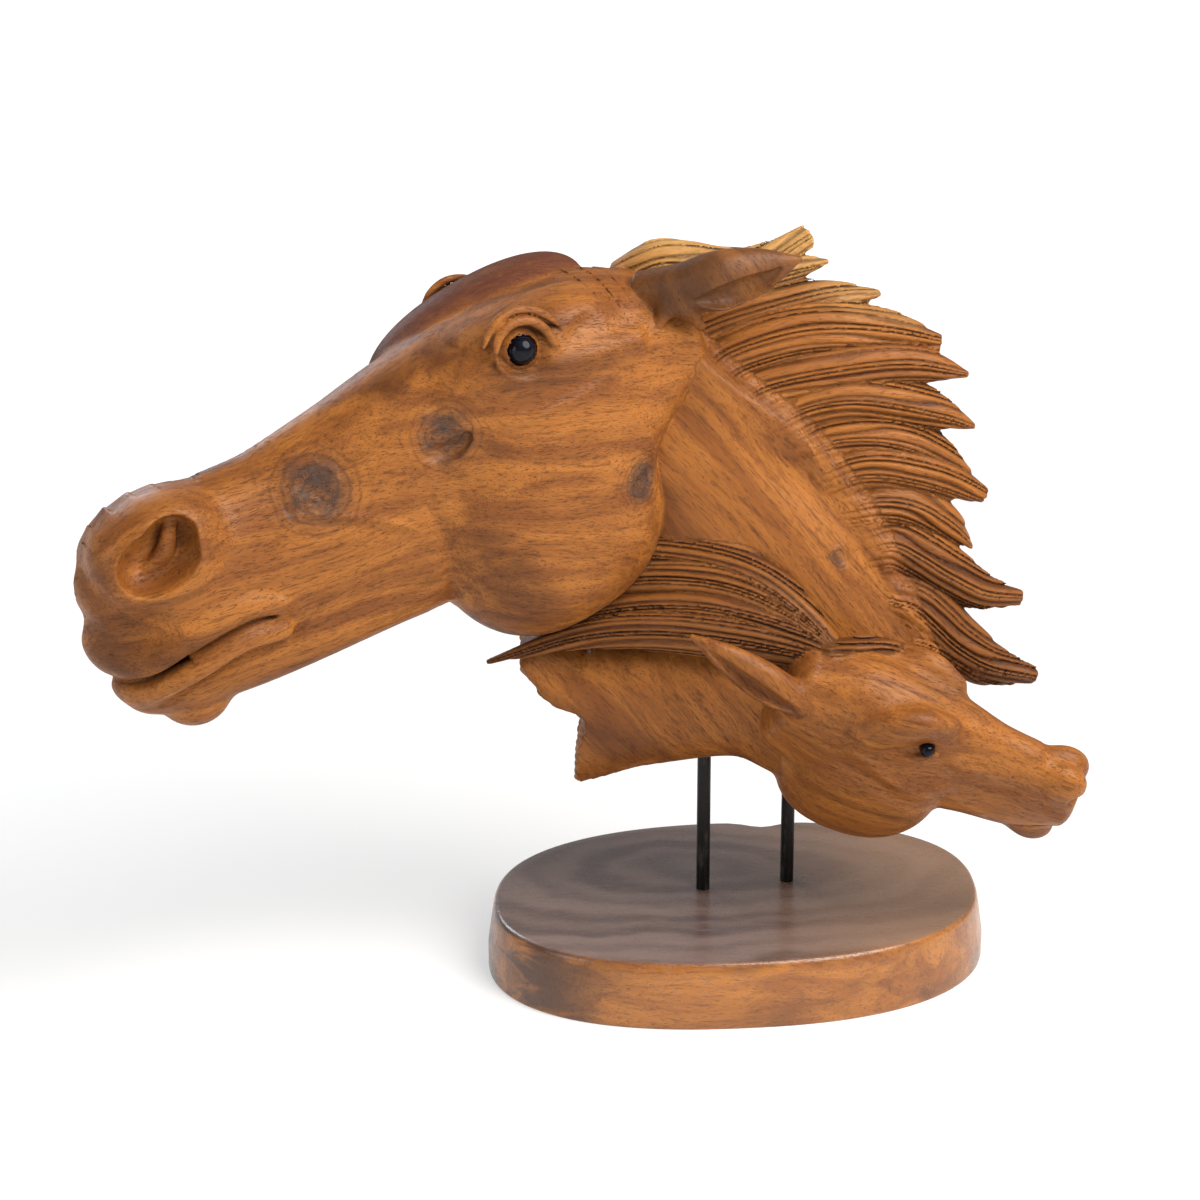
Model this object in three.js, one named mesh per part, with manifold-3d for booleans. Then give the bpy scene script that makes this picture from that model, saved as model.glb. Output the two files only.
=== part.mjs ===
// Carved double horse head: a mare's head, neck and windblown mane with a foal's head at her throat,
// all one block of wood, standing on two steel rods in a wooden slab.
// Millimetres, +X right, +Y away from the front, +Z up; the origin is the middle of the slab's underside.
import * as THREE from "three";
import { mergeVertices } from "three/addons/utils/BufferGeometryUtils.js";
import Module from "manifold-3d";

const GAP = 0.3; // clearance between neighbouring pieces

const SLAB_LENGTH = 300;
const SLAB_DEPTH = 232;
const SLAB_THICKNESS = 40;
const SLAB_FLARE = 4; // how far the rim leans out below the top
const SLAB_SQUARENESS = 2.35; // 2 would make the rim an ellipse
const SLAB_LEAN = 0.1; // how far the right end is pushed back, as a share of x
const SLAB_SET_BACK = 10; // how far the slab's middle lies behind the origin
const SLAB_DIP = { x: 22, depth: 9, width: 14 }; // shallow dip in the back edge

const ROD_DIAMETER = 8.4;
const ROD_SINK = 26; // how deep a rod goes into the slab
const LEFT_ROD = { x: -21, y: 9, top: 172 };
const RIGHT_ROD = { x: 32, y: 22, top: 172 };

const MARE = { muzzle: [-365, -145, 276], pitch: 26, yaw: 24, roll: 2, facing: 1 };
const MARE_ROOF = 0.14; // how fast the top of her head falls away to each side
const MARE_ROOF_RIDGE = 8; // half the width of the rounded ridge that it falls away from
const MARE_FAR_SHARE = 1.1; // the far half of her head is this much narrower
const MARE_FAR_MUZZLE_SHARE = 0.16; // and this much more at the muzzle
const MARE_FAR_DROP = 7; // how much lower the far side of her muzzle sits
const MARE_FAR_DROP_WIDTH = 18; // how far from the middle that drop is reached
const MARE_MUZZLE_END = { from: 60, to: 120 }; // where the muzzle runs into the nose
const MARE_EYE = { u: 267, v: 14, w: 40, ball: 14.6, bead: 8.5, beadOut: 9 };

const FOAL = { muzzle: [193, -60, 136], pitch: 21, yaw: 0, roll: 36, facing: -1 };
const FOAL_EYE = { u: 94, v: 12, w: 26, bead: 4.5 };

const NECK_MIDDLE_Y = 5; // the neck is alike in front of and behind this

const wasm = await Module();
wasm.setup();

// ---- solids

/** Value at t (0..1) of a smooth curve through evenly spaced knots; knots are numbers or points. */
function smooth(knots, t) {
  if (typeof knots === "number") return knots;
  if (Array.isArray(knots[0])) return knots[0].map((_, axis) => smooth(knots.map((k) => k[axis]), t));
  const last = knots.length - 1;
  const i = Math.min(Math.floor(t * last), last - 1);
  const f = t * last - i;
  const b = knots[i];
  const c = knots[i + 1];
  const a = i > 0 ? knots[i - 1] : 2 * b - c;
  const d = i + 2 <= last ? knots[i + 2] : 2 * c - b;
  const square = 2 * a - 5 * b + 4 * c - d;
  const cube = 3 * b - a - 3 * c + d;
  return 0.5 * (2 * b + (c - a) * f + square * f ** 2 + cube * f ** 3);
}

const vec = (p) => new THREE.Vector3(...p);
const bent = (value, power) => Math.sign(value) * Math.abs(value) ** (2 / power);

/** Closed body swept along a spine, with its own reach up, down and sideways at each knot. */
function loft(shape) {
  const { spine, up, down, side, top = [0, 0, 1], power = 2.2, caps = [5, 5], rings = 7, around = 8 } = shape;
  const points = [];
  const stations = [];
  stations.push({ t: 0, angle: -50, cap: caps[0] });
  for (let i = 0; i < rings; i++) stations.push({ t: i / (rings - 1), angle: 0, cap: 0 });
  stations.push({ t: 1, angle: 50, cap: caps[1] });
  const frameAt = (t) => {
    const centre = vec(smooth(spine, t));
    const ahead = vec(smooth(spine, Math.min(t + 0.01, 1))).sub(vec(smooth(spine, Math.max(t - 0.01, 0))));
    const along = ahead.normalize();
    const upward = vec(top).addScaledVector(along, -along.dot(vec(top))).normalize();
    return { centre, along, upward, sideways: along.clone().cross(upward) };
  };
  for (const { t, angle, cap } of stations) {
    const { centre, along, upward, sideways } = frameAt(t);
    const shrink = Math.cos(THREE.MathUtils.degToRad(angle));
    const section = smooth(power, t);
    centre.addScaledVector(along, cap * Math.sin(THREE.MathUtils.degToRad(angle)));
    for (let k = 0; k < around; k++) {
      const turn = (2 * Math.PI * k) / around;
      const reach = Math.max(0.4, smooth(Math.sin(turn) > 0 ? up : down, t));
      points.push(
        centre
          .clone()
          .addScaledVector(sideways, bent(Math.cos(turn), section) * Math.max(0.4, smooth(side, t)) * shrink)
          .addScaledVector(upward, bent(Math.sin(turn), section) * reach * shrink),
      );
    }
  }
  const start = frameAt(0);
  const end = frameAt(1);
  points.push(start.centre.addScaledVector(start.along, -caps[0]));
  points.push(end.centre.addScaledVector(end.along, caps[1]));
  const faces = [];
  for (let k = 0; k < around; k++) {
    const next = (k + 1) % around;
    faces.push(points.length - 2, k, next);
    for (let r = 0; r < stations.length - 1; r++) {
      const here = r * around;
      const there = here + around;
      faces.push(here + k, there + k, here + next, here + next, there + k, there + next);
    }
    const rim = (stations.length - 1) * around;
    faces.push(points.length - 1, rim + next, rim + k);
  }
  const geometry = new THREE.BufferGeometry().setFromPoints(points);
  geometry.setIndex(faces);
  return geometry;
}

/** Rounded blob; a power over 2 squares it off. */
function blob(centre, radii, power = 2, around = 8) {
  const geometry = new THREE.SphereGeometry(1, around, Math.round(around * 0.6));
  const position = geometry.attributes.position;
  const p = new THREE.Vector3();
  for (let i = 0; i < position.count; i++) {
    p.fromBufferAttribute(position, i);
    const size = (Math.abs(p.x) ** power + Math.abs(p.y) ** power + Math.abs(p.z) ** power) ** (1 / power);
    p.divideScalar(size).multiply(vec(radii)).add(vec(centre));
    position.setXYZ(i, p.x, p.y, p.z);
  }
  return geometry;
}

function turnedInsideOut(geometry) {
  const index = geometry.index.array;
  for (let i = 0; i < index.length; i += 3) [index[i + 1], index[i + 2]] = [index[i + 2], index[i + 1]];
  return geometry;
}

function withFarTwin(geometry) {
  return [geometry, turnedInsideOut(geometry.clone().scale(1, 1, -1))];
}

function solid(geometry) {
  const bare = geometry.clone();
  bare.deleteAttribute("normal");
  bare.deleteAttribute("uv");
  const merged = mergeVertices(bare, 1e-3);
  return new wasm.Manifold(
    new wasm.Mesh({
      numProp: 3,
      vertProperties: new Float32Array(merged.attributes.position.array),
      triVerts: new Uint32Array(merged.index.array),
    }),
  );
}

const joined = (geometries) => geometries.map(solid).reduce((whole, one) => whole.add(one));

function geometryOf(manifold) {
  const mesh = manifold.getMesh();
  const geometry = new THREE.BufferGeometry();
  geometry.setAttribute("position", new THREE.BufferAttribute(new Float32Array(mesh.vertProperties), 3));
  geometry.setIndex(new THREE.BufferAttribute(new Uint32Array(mesh.triVerts), 1));
  geometry.computeVertexNormals();
  return geometry;
}

// ---- head frames: u runs from the muzzle to the poll, v to the top of the head, w to the near side

function headFrame({ muzzle, pitch, yaw, roll, facing }) {
  const [a, y, r] = [pitch, yaw, roll].map(THREE.MathUtils.degToRad);
  const u = vec([facing * Math.cos(a) * Math.cos(y), Math.cos(a) * Math.sin(y), Math.sin(a)]);
  const level = vec([facing * Math.sin(y), -Math.cos(y), 0]);
  const raised = level.clone().cross(u).multiplyScalar(facing);
  const v = raised.clone().multiplyScalar(Math.cos(r)).addScaledVector(level, Math.sin(r));
  const w = level.clone().multiplyScalar(Math.cos(r)).addScaledVector(raised, -Math.sin(r));
  return new THREE.Matrix4().makeBasis(u, v, w).setPosition(...muzzle);
}

function placed(geometry, head) {
  const frame = headFrame(head);
  const moved = geometry.applyMatrix4(frame);
  return frame.determinant() < 0 ? turnedInsideOut(moved) : moved;
}

/** The mare's head is roof-shaped across, and narrower and at the muzzle lower on its far side. */
function shapedLikeMare(geometry) {
  const { smoothstep } = THREE.MathUtils;
  const position = geometry.attributes.position;
  for (let i = 0; i < position.count; i++) {
    const u = position.getX(i);
    const near = position.getZ(i);
    const muzzle = 1 - smoothstep(u, MARE_MUZZLE_END.from, MARE_MUZZLE_END.to);
    const w = near < 0 ? near / (MARE_FAR_SHARE + MARE_FAR_MUZZLE_SHARE * muzzle) : near;
    const roof = MARE_ROOF * (Math.hypot(w, MARE_ROOF_RIDGE) - MARE_ROOF_RIDGE);
    const drop = MARE_FAR_DROP * muzzle * smoothstep(-w, 0, MARE_FAR_DROP_WIDTH);
    position.setXYZ(i, u, position.getY(i) - roof - drop, w);
  }
  return placed(geometry, MARE);
}

const mare = (geometries) => geometries.flat().map(shapedLikeMare);
const mareUnshaped = (geometries) => geometries.map((geometry) => placed(geometry, MARE));
const foal = (geometries) => geometries.flat().map((geometry) => placed(geometry, FOAL));

// ---- the mare's head

function mareSkull() {
  const u = [10, 34, 65, 105, 150, 195, 240, 285, 325, 362];
  const top = [12, 32, 28, 21.5, 22, 25, 26.5, 24, 14, -10];
  const bottom = [-50, -64, -86, -103, -112, -118, -114, -108, -95, -80];
  const half = top.map((value, i) => (value - bottom[i]) / 2);
  return loft({
    spine: u.map((value, i) => [value, (top[i] + bottom[i]) / 2, 0]),
    up: half,
    down: half,
    side: [25, 35, 35, 34, 37, 42, 47, 51, 49, 40],
    top: [0, 1, 0],
    power: [2.6, 2.4, 2.2, 2.3, 2.5, 2.8, 3, 3, 2.6, 2.3],
    caps: [15, 16],
    rings: 11,
    around: 12,
  });
}

/** A ridge that follows the lips back from the front of the muzzle. */
function lipRidge(spine, up, down, side) {
  return loft({ spine, up, down, side, top: [0, 1, 0], caps: [7, 5], rings: 5, around: 6 });
}

function mareMuzzle() {
  const upperRidge = lipRidge(
    [[-7, -43, 0], [6, -43, 25], [32, -40, 33], [64, -42, 33], [84, -52, 33]],
    [9, 9, 9, 8, 6],
    [6, 6, 6, 5, 4],
    [7, 7, 6, 5, 3.5],
  );
  const lowerRidge = lipRidge(
    [[-8, -59, 0], [2, -59, 20], [26, -56, 32], [58, -56, 34], [80, -65, 32]],
    [5, 5, 5, 5, 4],
    [8, 8, 7, 6, 5],
    [7, 7, 6.5, 5.5, 4],
  );
  const jaw = loft({
    spine: [[-2, -62, 0], [24, -70, 0], [80, -78, 0], [160, -90, 0]],
    up: 13,
    down: [10, 19, 25, 20],
    side: [19, 27, 29, 31],
    top: [0, 1, 0],
    caps: [9, 10],
    rings: 6,
  });
  const chin = [blob([25, -85, 0], [22, 19, 22]), blob([8, -70, 0], [19, 15, 19])];
  const upperLip = blob([4, -32, 0], [23.5, 20, 25]);
  const nostrilBulge = blob([42, 9, 21], [37, 28, 23], 2.2, 12);
  return [jaw, ...chin, upperLip, ...[upperRidge, lowerRidge, nostrilBulge].flatMap(withFarTwin)];
}

function mareMouth() {
  const width = [1, 1, 1.1, 1.4, 1.8, 2.2, 2.6, 2.6, 2];
  return loft({
    spine: [
      [-26, -50, 0], [-12, -53, 20], [4, -52, 33], [20, -48.5, 39], [37, -47, 41], [54, -47.3, 42],
      [70, -49.5, 42], [79, -54, 41], [82, -61, 40],
    ],
    up: width,
    down: width,
    side: 9,
    top: [0, 1, 0],
    caps: [4, 2],
    rings: 9,
    around: 6,
  });
}

/** The near nostril is deep, the far one only dished. */
function mareNostrils() {
  return [blob([38, 7, 45], [24, 17.5, 18], 2.2, 12), blob([46, 0, -41], [13, 10, 9], 2.2)];
}

function mareCheeksAndBrows() {
  const cheekbone = loft({
    spine: [[282, -6, 46], [305, -10, 47], [330, -19, 43]],
    up: [7, 6, 6],
    down: [9, 10, 9],
    side: [8, 8, 7],
    top: [0, 1, 0],
    caps: [6, 6],
    rings: 5,
    around: 8,
  });
  const cheek = blob([246, -92, 12], [72, 72, 46], 2.4, 12);
  const overCheek = blob([266, -52, 20], [62, 56, 36], 2.5);
  const brow = blob([272, -2, 28], [54, 27, 25], 2.4);
  return [cheek, overCheek, brow, cheekbone].flatMap(withFarTwin);
}

/** The left of the forehead keeps a raised dome of rougher wood. */
const mareFarDome = () => blob([269, 2, -25], [72, 30.5, 29], 2.2, 12);

const eyeSocket = () => blob([MARE_EYE.u, MARE_EYE.v, 58], [17.5, 17, 12]);
const temple = () => blob([314, 7, 57], [23, 8, 12]);

function eyeball() {
  const { u, v, w, ball } = MARE_EYE;
  return blob([u, v, w], [ball, ball, ball], 2, 10);
}

function mareBead(radius) {
  const { u, v, w, beadOut } = MARE_EYE;
  return blob([u, v, w + beadOut], [radius, radius, radius], 2, 12);
}

function mareEar() {
  return loft({
    spine: [[-60, -34, 419], [-38, -44, 424], [-17, -50, 430], [6, -47, 436], [27, -44, 441]],
    up: [14, 15, 17, 12, 1.8],
    down: [12, 13, 17, 13, 1.8],
    side: [11, 13, 13, 8, 1.8],
    caps: [6, 2],
    around: 8,
  });
}

function mareEarHollow() {
  return loft({
    spine: [[-35, -68, 419], [-20, -69, 420.5], [-5, -66, 422.5], [8, -60, 428], [18, -54, 436]],
    up: [2, 7, 10, 8, 2],
    down: [2, 8, 11, 9, 2],
    side: [9, 17, 19, 15, 6],
    caps: [3, 2],
  });
}

// ---- neck and mane

function neck() {
  return loft({
    spine: [[-80, 4, 372], [-52, 5, 335], [-18, 6, 292], [18, 6, 250], [46, 6, 212], [64, 4, 176]],
    up: [46, 58, 58, 58, 50, 48],
    down: [40, 55, 60, 58, 52, 40],
    side: [34, 38, 41, 42, 41, 38],
    top: [0.75, 0, 0.66],
    power: 2.4,
    caps: [14, 14],
    rings: 7,
    around: 10,
  });
}

/** The rounded shoulders of the neck along the mane, one on each side. */
function crests() {
  const line = [
    [-51, -24, 406], [-27, -26, 379], [-4, -22, 359], [26, -16, 336], [50, -10, 309], [74, -8, 273],
    [90, -8, 236], [104, -8, 200], [117, -8, 179],
  ];
  const farLine = line.map(([x, y, z]) => [x, 2 * NECK_MIDDLE_Y - y, z]);
  return [line, farLine].map((spine) => loft({ spine, up: 5, down: 20, side: 10, top: [0.7, 0, 0.7] }));
}

function maneSheet() {
  return loft({
    spine: [
      [-48, 4, 402], [-18, 4, 402], [22, 3, 394], [60, 2, 366], [84, 2, 330], [98, 2, 285], [112, 2, 244],
      [118, 2, 212],
    ],
    up: [8, 14, 24, 29, 29, 26, 20, 12],
    down: [20, 34, 36, 40, 38, 34, 28, 20],
    side: [20, 17, 14, 13, 12, 11, 10, 9],
    top: [0.6, 0, 0.8],
    caps: [8, 8],
    rings: 7,
    around: 8,
  });
}

// how wide a lock of hair is along its length, as shares of its full width
const TAPERING = [0.95, 1.08, 1, 0.85, 0.56, 0.12];
const BLUNT = [0.9, 1.1, 1, 0.9, 0.8, 0.55];
const HOOKED = [0.95, 1.05, 1, 0.88, 0.66, 0.3];
const SPREADING = [0.3, 0.7, 1, 1, 0.9, 0.6];
const POINTED = [0.45, 0.8, 1, 0.9, 0.6, 0.12];
const FORELOCK = [0.5, 0.8, 1, 1, 0.9, 0.7];

/** One lock of hair from its root past two guides to its tip. */
function lock([root, leaving, arriving, tip], width, thickness, widths) {
  const curve = new THREE.CubicBezierCurve3(vec(root), vec(leaving), vec(arriving), vec(tip));
  const depth = [1, 1, 0.95, 0.85, 0.65, 0.3].map((share) => share * thickness);
  return loft({
    spine: [0, 0.2, 0.4, 0.6, 0.8, 1].map((t) => curve.getPoint(t).toArray()),
    up: depth,
    down: depth,
    side: widths.map((share) => share * width),
    top: [0, 1, 0],
    power: 2,
    caps: [6, 2],
    rings: 4,
    around: 6,
  });
}

function maneLocks() {
  return [
    lock([[-72, 2, 422], [-36, 2, 450], [-18, 4, 408], [36, 6, 447]], 13, 14, BLUNT),
    lock([[-56, 0, 393], [-27, 0, 416], [8, 3, 427], [46, 6, 432]], 16, 14, TAPERING),
    lock([[-45, -2, 384], [-15, -2, 393], [31, 3, 410], [77, 8, 413]], 19, 16, TAPERING),
    lock([[-27, -4, 369], [8, -4, 393], [66, 0, 399], [113, 4, 384]], 20, 18, HOOKED),
    lock([[-8, -4, 353], [32, -4, 370], [84, -2, 381], [129, 0, 367]], 19, 18, TAPERING),
    lock([[10, -4, 340], [55, -4, 367], [97, -2, 352], [134, 0, 336]], 18, 18, TAPERING),
    lock([[28, -4, 324], [67, -4, 346], [104, 0, 327], [133, 4, 308]], 17, 17, TAPERING),
    lock([[44, -4, 308], [80, -4, 322], [110, 0, 309], [143, 4, 293]], 17, 17, HOOKED),
    lock([[58, -4, 287], [87, -4, 298], [117, 0, 285], [136, 4, 262]], 15, 16, TAPERING),
    lock([[73, -4, 262], [99, -4, 280], [125, -1, 229], [167, 2, 230]], 17, 16, HOOKED),
    lock([[85, -4, 235], [112, -4, 236], [126, -1, 188], [178, 2, 181]], 18, 15, HOOKED),
    lock([[95, -2, 211], [113, -2, 217], [133, 1, 185], [164, 4, 176]], 14, 14, TAPERING),
  ];
}

// ---- the foal

function foalHair() {
  return [
    lock([[53, -58, 215], [14, -41, 256], [-26, -24, 269], [-91, -24, 260]], 17, 10, SPREADING),
    lock([[53, -58, 215], [17, -44, 242], [-26, -30, 259], [-103, -30, 238]], 17, 10, SPREADING),
    lock([[52, -60, 215], [14, -49, 228], [-32, -38, 240], [-117, -38, 220]], 15, 9, SPREADING),
    lock([[51, -60, 212], [14, -52, 214], [-62, -44, 242], [-150, -44, 204]], 14, 8, POINTED),
    lock([[47, -62, 216], [70, -57, 217], [90, -50, 209], [112, -48, 194]], 11, 9, FORELOCK),
  ];
}

function foalNeck() {
  return loft({
    spine: [[-124, -4, 196], [-100, -4, 178], [-55, -4, 172], [0, -4, 172], [40, -6, 160]],
    up: [26, 36, 44, 46, 44],
    down: [62, 63, 42, 36, 40],
    side: [30, 35, 41, 42, 42],
    power: 2.6,
    caps: [14, 10],
    rings: 6,
    around: 10,
  });
}

/** What is broken away left of the foal's neck: the edge is x, z points from the top down. */
function brokenAway() {
  const edge = [
    [-133, 212], [-131, 192], [-122, 180], [-111, 171], [-99, 167], [-94, 160], [-97, 144], [-99, 124],
    [-96, 112],
  ];
  const outside = [[-96, 90], [-220, 90], [-220, 260], [-133, 260]];
  const outline = new THREE.Shape([...edge, ...outside].map(([x, z]) => new THREE.Vector2(x, z)));
  return new THREE.ExtrudeGeometry(outline, { depth: 180, bevelEnabled: false })
    .rotateX(Math.PI / 2)
    .translate(0, 90, 0);
}

function foalSkull() {
  const u = [0, 22, 50, 80, 110, 140, 170];
  const top = [12, 14, 19, 26, 31, 31, 22];
  const bottom = [-40, -54, -58, -62, -62, -62, -50];
  const half = top.map((value, i) => (value - bottom[i]) / 2);
  return loft({
    spine: u.map((value, i) => [value, (top[i] + bottom[i]) / 2, 0]),
    up: half,
    down: half,
    side: [15, 17, 19, 25, 30, 32, 28],
    top: [0, 1, 0],
    power: 2.3,
    caps: [9, 14],
    rings: 7,
    around: 10,
  });
}

function foalFeatures() {
  const brow = loft({
    spine: [[130, 8, 27], [118, 20, 26], [104, 26, 22], [88, 24, 17]],
    up: [5, 7, 7, 4],
    down: [7, 9, 9, 6],
    side: [8, 10, 10, 8],
    top: [0, 0, 1],
    caps: [6, 6],
    rings: 5,
    around: 8,
  });
  const nose = blob([6, 4, 7], [14, 12.5, 9.5]);
  const chin = blob([6, -49, 0], [15, 11, 12]);
  const cheek = blob([114, -49, 8], [50, 52, 29], 2.3, 12);
  const cheekbone = blob([80, -19, 18], [15, 6, 10], 2, 8);
  return [chin, ...[brow, nose, cheek, cheekbone].flatMap(withFarTwin)];
}

function foalHollows() {
  const mouthWidth = [1, 1, 1.3, 1.5, 1];
  const mouth = loft({
    spine: [[-16, -27, 0], [-9, -30, 11], [6, -38, 16], [22, -46, 18], [33, -49, 19]],
    up: mouthWidth,
    down: mouthWidth,
    side: 5,
    top: [0, 1, 0],
    caps: [2, 2],
    rings: 6,
    around: 6,
  });
  const slitWidth = [1.2, 3, 3.4, 1.4];
  const eyeSlit = loft({
    spine: [[114, 2, 33], [104, 7, 32], [96, 12, 30], [88, 16, 28]],
    up: slitWidth,
    down: slitWidth,
    side: [5, 7, 7, 5],
    top: [0, 0, 1],
    caps: [2, 2],
    rings: 5,
    around: 8,
  });
  const nostril = blob([-7, -3, 13], [7, 5.5, 7], 2, 8);
  return [mouth, eyeSlit, nostril].flatMap(withFarTwin);
}

function foalBead(radius) {
  const { u, v, w } = FOAL_EYE;
  return blob([u, v, w], [radius, radius, radius], 2, 10);
}

function foalEar() {
  return loft({
    spine: [[49, -72, 186], [30, -78, 191], [8, -82, 205], [-14, -82, 219], [-32, -80, 230]],
    up: [9, 10, 11, 8, 1.5],
    down: [9, 10, 12, 8, 1.5],
    side: [7, 8, 8, 6, 1.5],
    caps: [5, 2],
    rings: 6,
    around: 8,
  });
}

function foalEarHollow() {
  return loft({
    spine: [[28, -91, 187], [8, -94, 199], [-10, -93, 212], [-23, -88, 222]],
    up: [3, 5, 4, 1.5],
    down: [3, 6, 5, 1.5],
    side: [7, 11, 9, 4],
    caps: [4, 3],
    rings: 5,
    around: 8,
  });
}

// ---- pieces

function rodBar(rod, radius, from, to) {
  return new THREE.CylinderGeometry(radius, radius, to - from, 20)
    .rotateX(Math.PI / 2)
    .translate(rod.x, rod.y, (from + to) / 2);
}

const rodHole = (rod) => rodBar(rod, ROD_DIAMETER / 2 + GAP, SLAB_THICKNESS - ROD_SINK - GAP, rod.top + GAP);

function carving() {
  const whole = joined([
    ...mare([mareSkull(), mareMuzzle(), mareCheeksAndBrows()]),
    ...mareUnshaped([mareFarDome()]),
    neck(),
    ...crests(),
    maneSheet(),
    ...maneLocks(),
    ...foalHair(),
    ...foal([foalSkull(), foalFeatures()]),
  ]).add(solid(foalNeck()).subtract(solid(brokenAway())));
  const hollowed = whole
    .subtract(joined(mare([mareMouth(), eyeSocket(), temple()].map(withFarTwin))))
    .subtract(joined(mareUnshaped(mareNostrils())))
    .subtract(joined(foal([foalHollows()])));
  const eyed = hollowed
    .add(joined([...mare([withFarTwin(eyeball())]), mareEar(), foalEar()]))
    .subtract(joined([mareEarHollow(), foalEarHollow()]))
    .subtract(joined(mare([withFarTwin(mareBead(MARE_EYE.bead + GAP))])))
    .subtract(joined(foal([withFarTwin(foalBead(FOAL_EYE.bead + GAP))])));
  const drilled = eyed.subtract(joined([rodHole(LEFT_ROD), rodHole(RIGHT_ROD)]));
  return geometryOf(drilled.decompose().reduce((a, b) => (a.volume() > b.volume() ? a : b)));
}

/** The slab's rim, spread out all round by the given amount. */
function slabRim(spread, count = 36) {
  const rim = [];
  for (let i = 0; i < count; i++) {
    const turn = (2 * Math.PI * i) / count;
    const x = bent(Math.cos(turn), SLAB_SQUARENESS) * (SLAB_LENGTH / 2 + spread);
    const y = bent(Math.sin(turn), SLAB_SQUARENESS) * (SLAB_DEPTH / 2 + spread);
    const dip = SLAB_DIP.depth * Math.exp(-(((x - SLAB_DIP.x) / SLAB_DIP.width) ** 2)) * (y > 0 ? 1 : 0);
    rim.push(new THREE.Vector2(x, y + SLAB_LEAN * x + SLAB_SET_BACK - dip));
  }
  return rim;
}

function baseSlab() {
  const levels = [
    [0, SLAB_FLARE - 1], [2, SLAB_FLARE], [14, SLAB_FLARE], [SLAB_THICKNESS - 3, 0.5], [SLAB_THICKNESS, -2],
  ];
  const points = [];
  for (const [z, spread] of levels) points.push(...slabRim(spread).map((p) => vec([p.x, p.y, z])));
  const around = points.length / levels.length;
  points.push(vec([0, 0, 0]), vec([0, 0, SLAB_THICKNESS]));
  const faces = [];
  for (let k = 0; k < around; k++) {
    const next = (k + 1) % around;
    faces.push(points.length - 2, next, k);
    for (let r = 0; r < levels.length - 1; r++) {
      const here = r * around;
      const there = here + around;
      faces.push(here + k, here + next, there + k, here + next, there + next, there + k);
    }
    faces.push(points.length - 1, (levels.length - 1) * around + k, (levels.length - 1) * around + next);
  }
  const geometry = new THREE.BufferGeometry().setFromPoints(points);
  geometry.setIndex(faces);
  return geometryOf(solid(geometry).subtract(joined([rodHole(LEFT_ROD), rodHole(RIGHT_ROD)])));
}

const rod = (spec) => rodBar(spec, ROD_DIAMETER / 2, SLAB_THICKNESS - ROD_SINK, spec.top);

const WOOD = { color: "#a5683a", roughness: 0.45, metalness: 0 };
const SLAB_WOOD = { color: "#8a6148", roughness: 0.4, metalness: 0 };
const BLACK_STEEL = { color: "#1c1a19", roughness: 0.35, metalness: 0.8 };
const GLOSSY_BLACK = { color: "#0a0a10", roughness: 0.05, metalness: 0 };

function piece(name, geometry, finish) {
  const mesh = new THREE.Mesh(geometry, new THREE.MeshStandardMaterial(finish));
  mesh.name = name;
  return mesh;
}

const [nearEye, farEye] = mare([withFarTwin(mareBead(MARE_EYE.bead))]);
const [nearFoalEye, farFoalEye] = foal([withFarTwin(foalBead(FOAL_EYE.bead))]);

const sculpture = new THREE.Group();
sculpture.add(
  piece("carving", carving(), WOOD),
  piece("base_slab", baseSlab(), SLAB_WOOD),
  piece("left_rod", rod(LEFT_ROD), BLACK_STEEL),
  piece("right_rod", rod(RIGHT_ROD), BLACK_STEEL),
  piece("mare_near_eye", nearEye, GLOSSY_BLACK),
  piece("mare_far_eye", farEye, GLOSSY_BLACK),
  piece("foal_near_eye", nearFoalEye, GLOSSY_BLACK),
  piece("foal_far_eye", farFoalEye, GLOSSY_BLACK),
);

export default sculpture;
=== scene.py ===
"""Carved double horse head on two rods and a wooden slab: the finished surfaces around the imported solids.

Lengths in the settings are metres; the carving's own sculpting works in millimetres.
"""
import math

import bpy
import numpy as np
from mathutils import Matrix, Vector


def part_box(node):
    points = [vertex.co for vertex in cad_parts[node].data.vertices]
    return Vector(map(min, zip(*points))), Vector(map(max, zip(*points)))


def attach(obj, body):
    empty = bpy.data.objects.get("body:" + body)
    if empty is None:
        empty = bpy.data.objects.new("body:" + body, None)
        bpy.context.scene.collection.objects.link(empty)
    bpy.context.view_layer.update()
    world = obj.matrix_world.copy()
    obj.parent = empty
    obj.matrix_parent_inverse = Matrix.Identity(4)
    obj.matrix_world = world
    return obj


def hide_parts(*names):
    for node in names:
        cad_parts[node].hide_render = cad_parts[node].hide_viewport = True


bl_info = {
    "name": "Carved Double Horse Head",
    "version": (1, 0, 0),
    "blender": (4, 5, 0),
    "location": "View3D > Sidebar > Carving",
    "description": "Builds a carved double horse head, its slab, rods and inlaid eyes",
    "category": "Object",
}

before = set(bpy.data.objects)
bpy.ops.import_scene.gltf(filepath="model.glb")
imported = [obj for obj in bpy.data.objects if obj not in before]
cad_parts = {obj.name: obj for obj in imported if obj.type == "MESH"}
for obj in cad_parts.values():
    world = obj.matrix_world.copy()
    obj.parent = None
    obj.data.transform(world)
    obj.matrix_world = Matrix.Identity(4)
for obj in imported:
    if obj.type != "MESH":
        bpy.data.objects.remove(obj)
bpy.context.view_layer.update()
MM = 0.001

# ---------------------------------------------------------------- settings


def length_setting(name, description, default, **limits):
    return bpy.props.FloatProperty(name=name, description=description, default=default, unit="LENGTH",
                                   **limits)


def share_setting(name, description, default):
    return bpy.props.FloatProperty(name=name, description=description, default=default, min=0, max=1)


def power_setting(name, description, default):
    return bpy.props.FloatProperty(name=name, description=description, default=default, unit="POWER")


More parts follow.
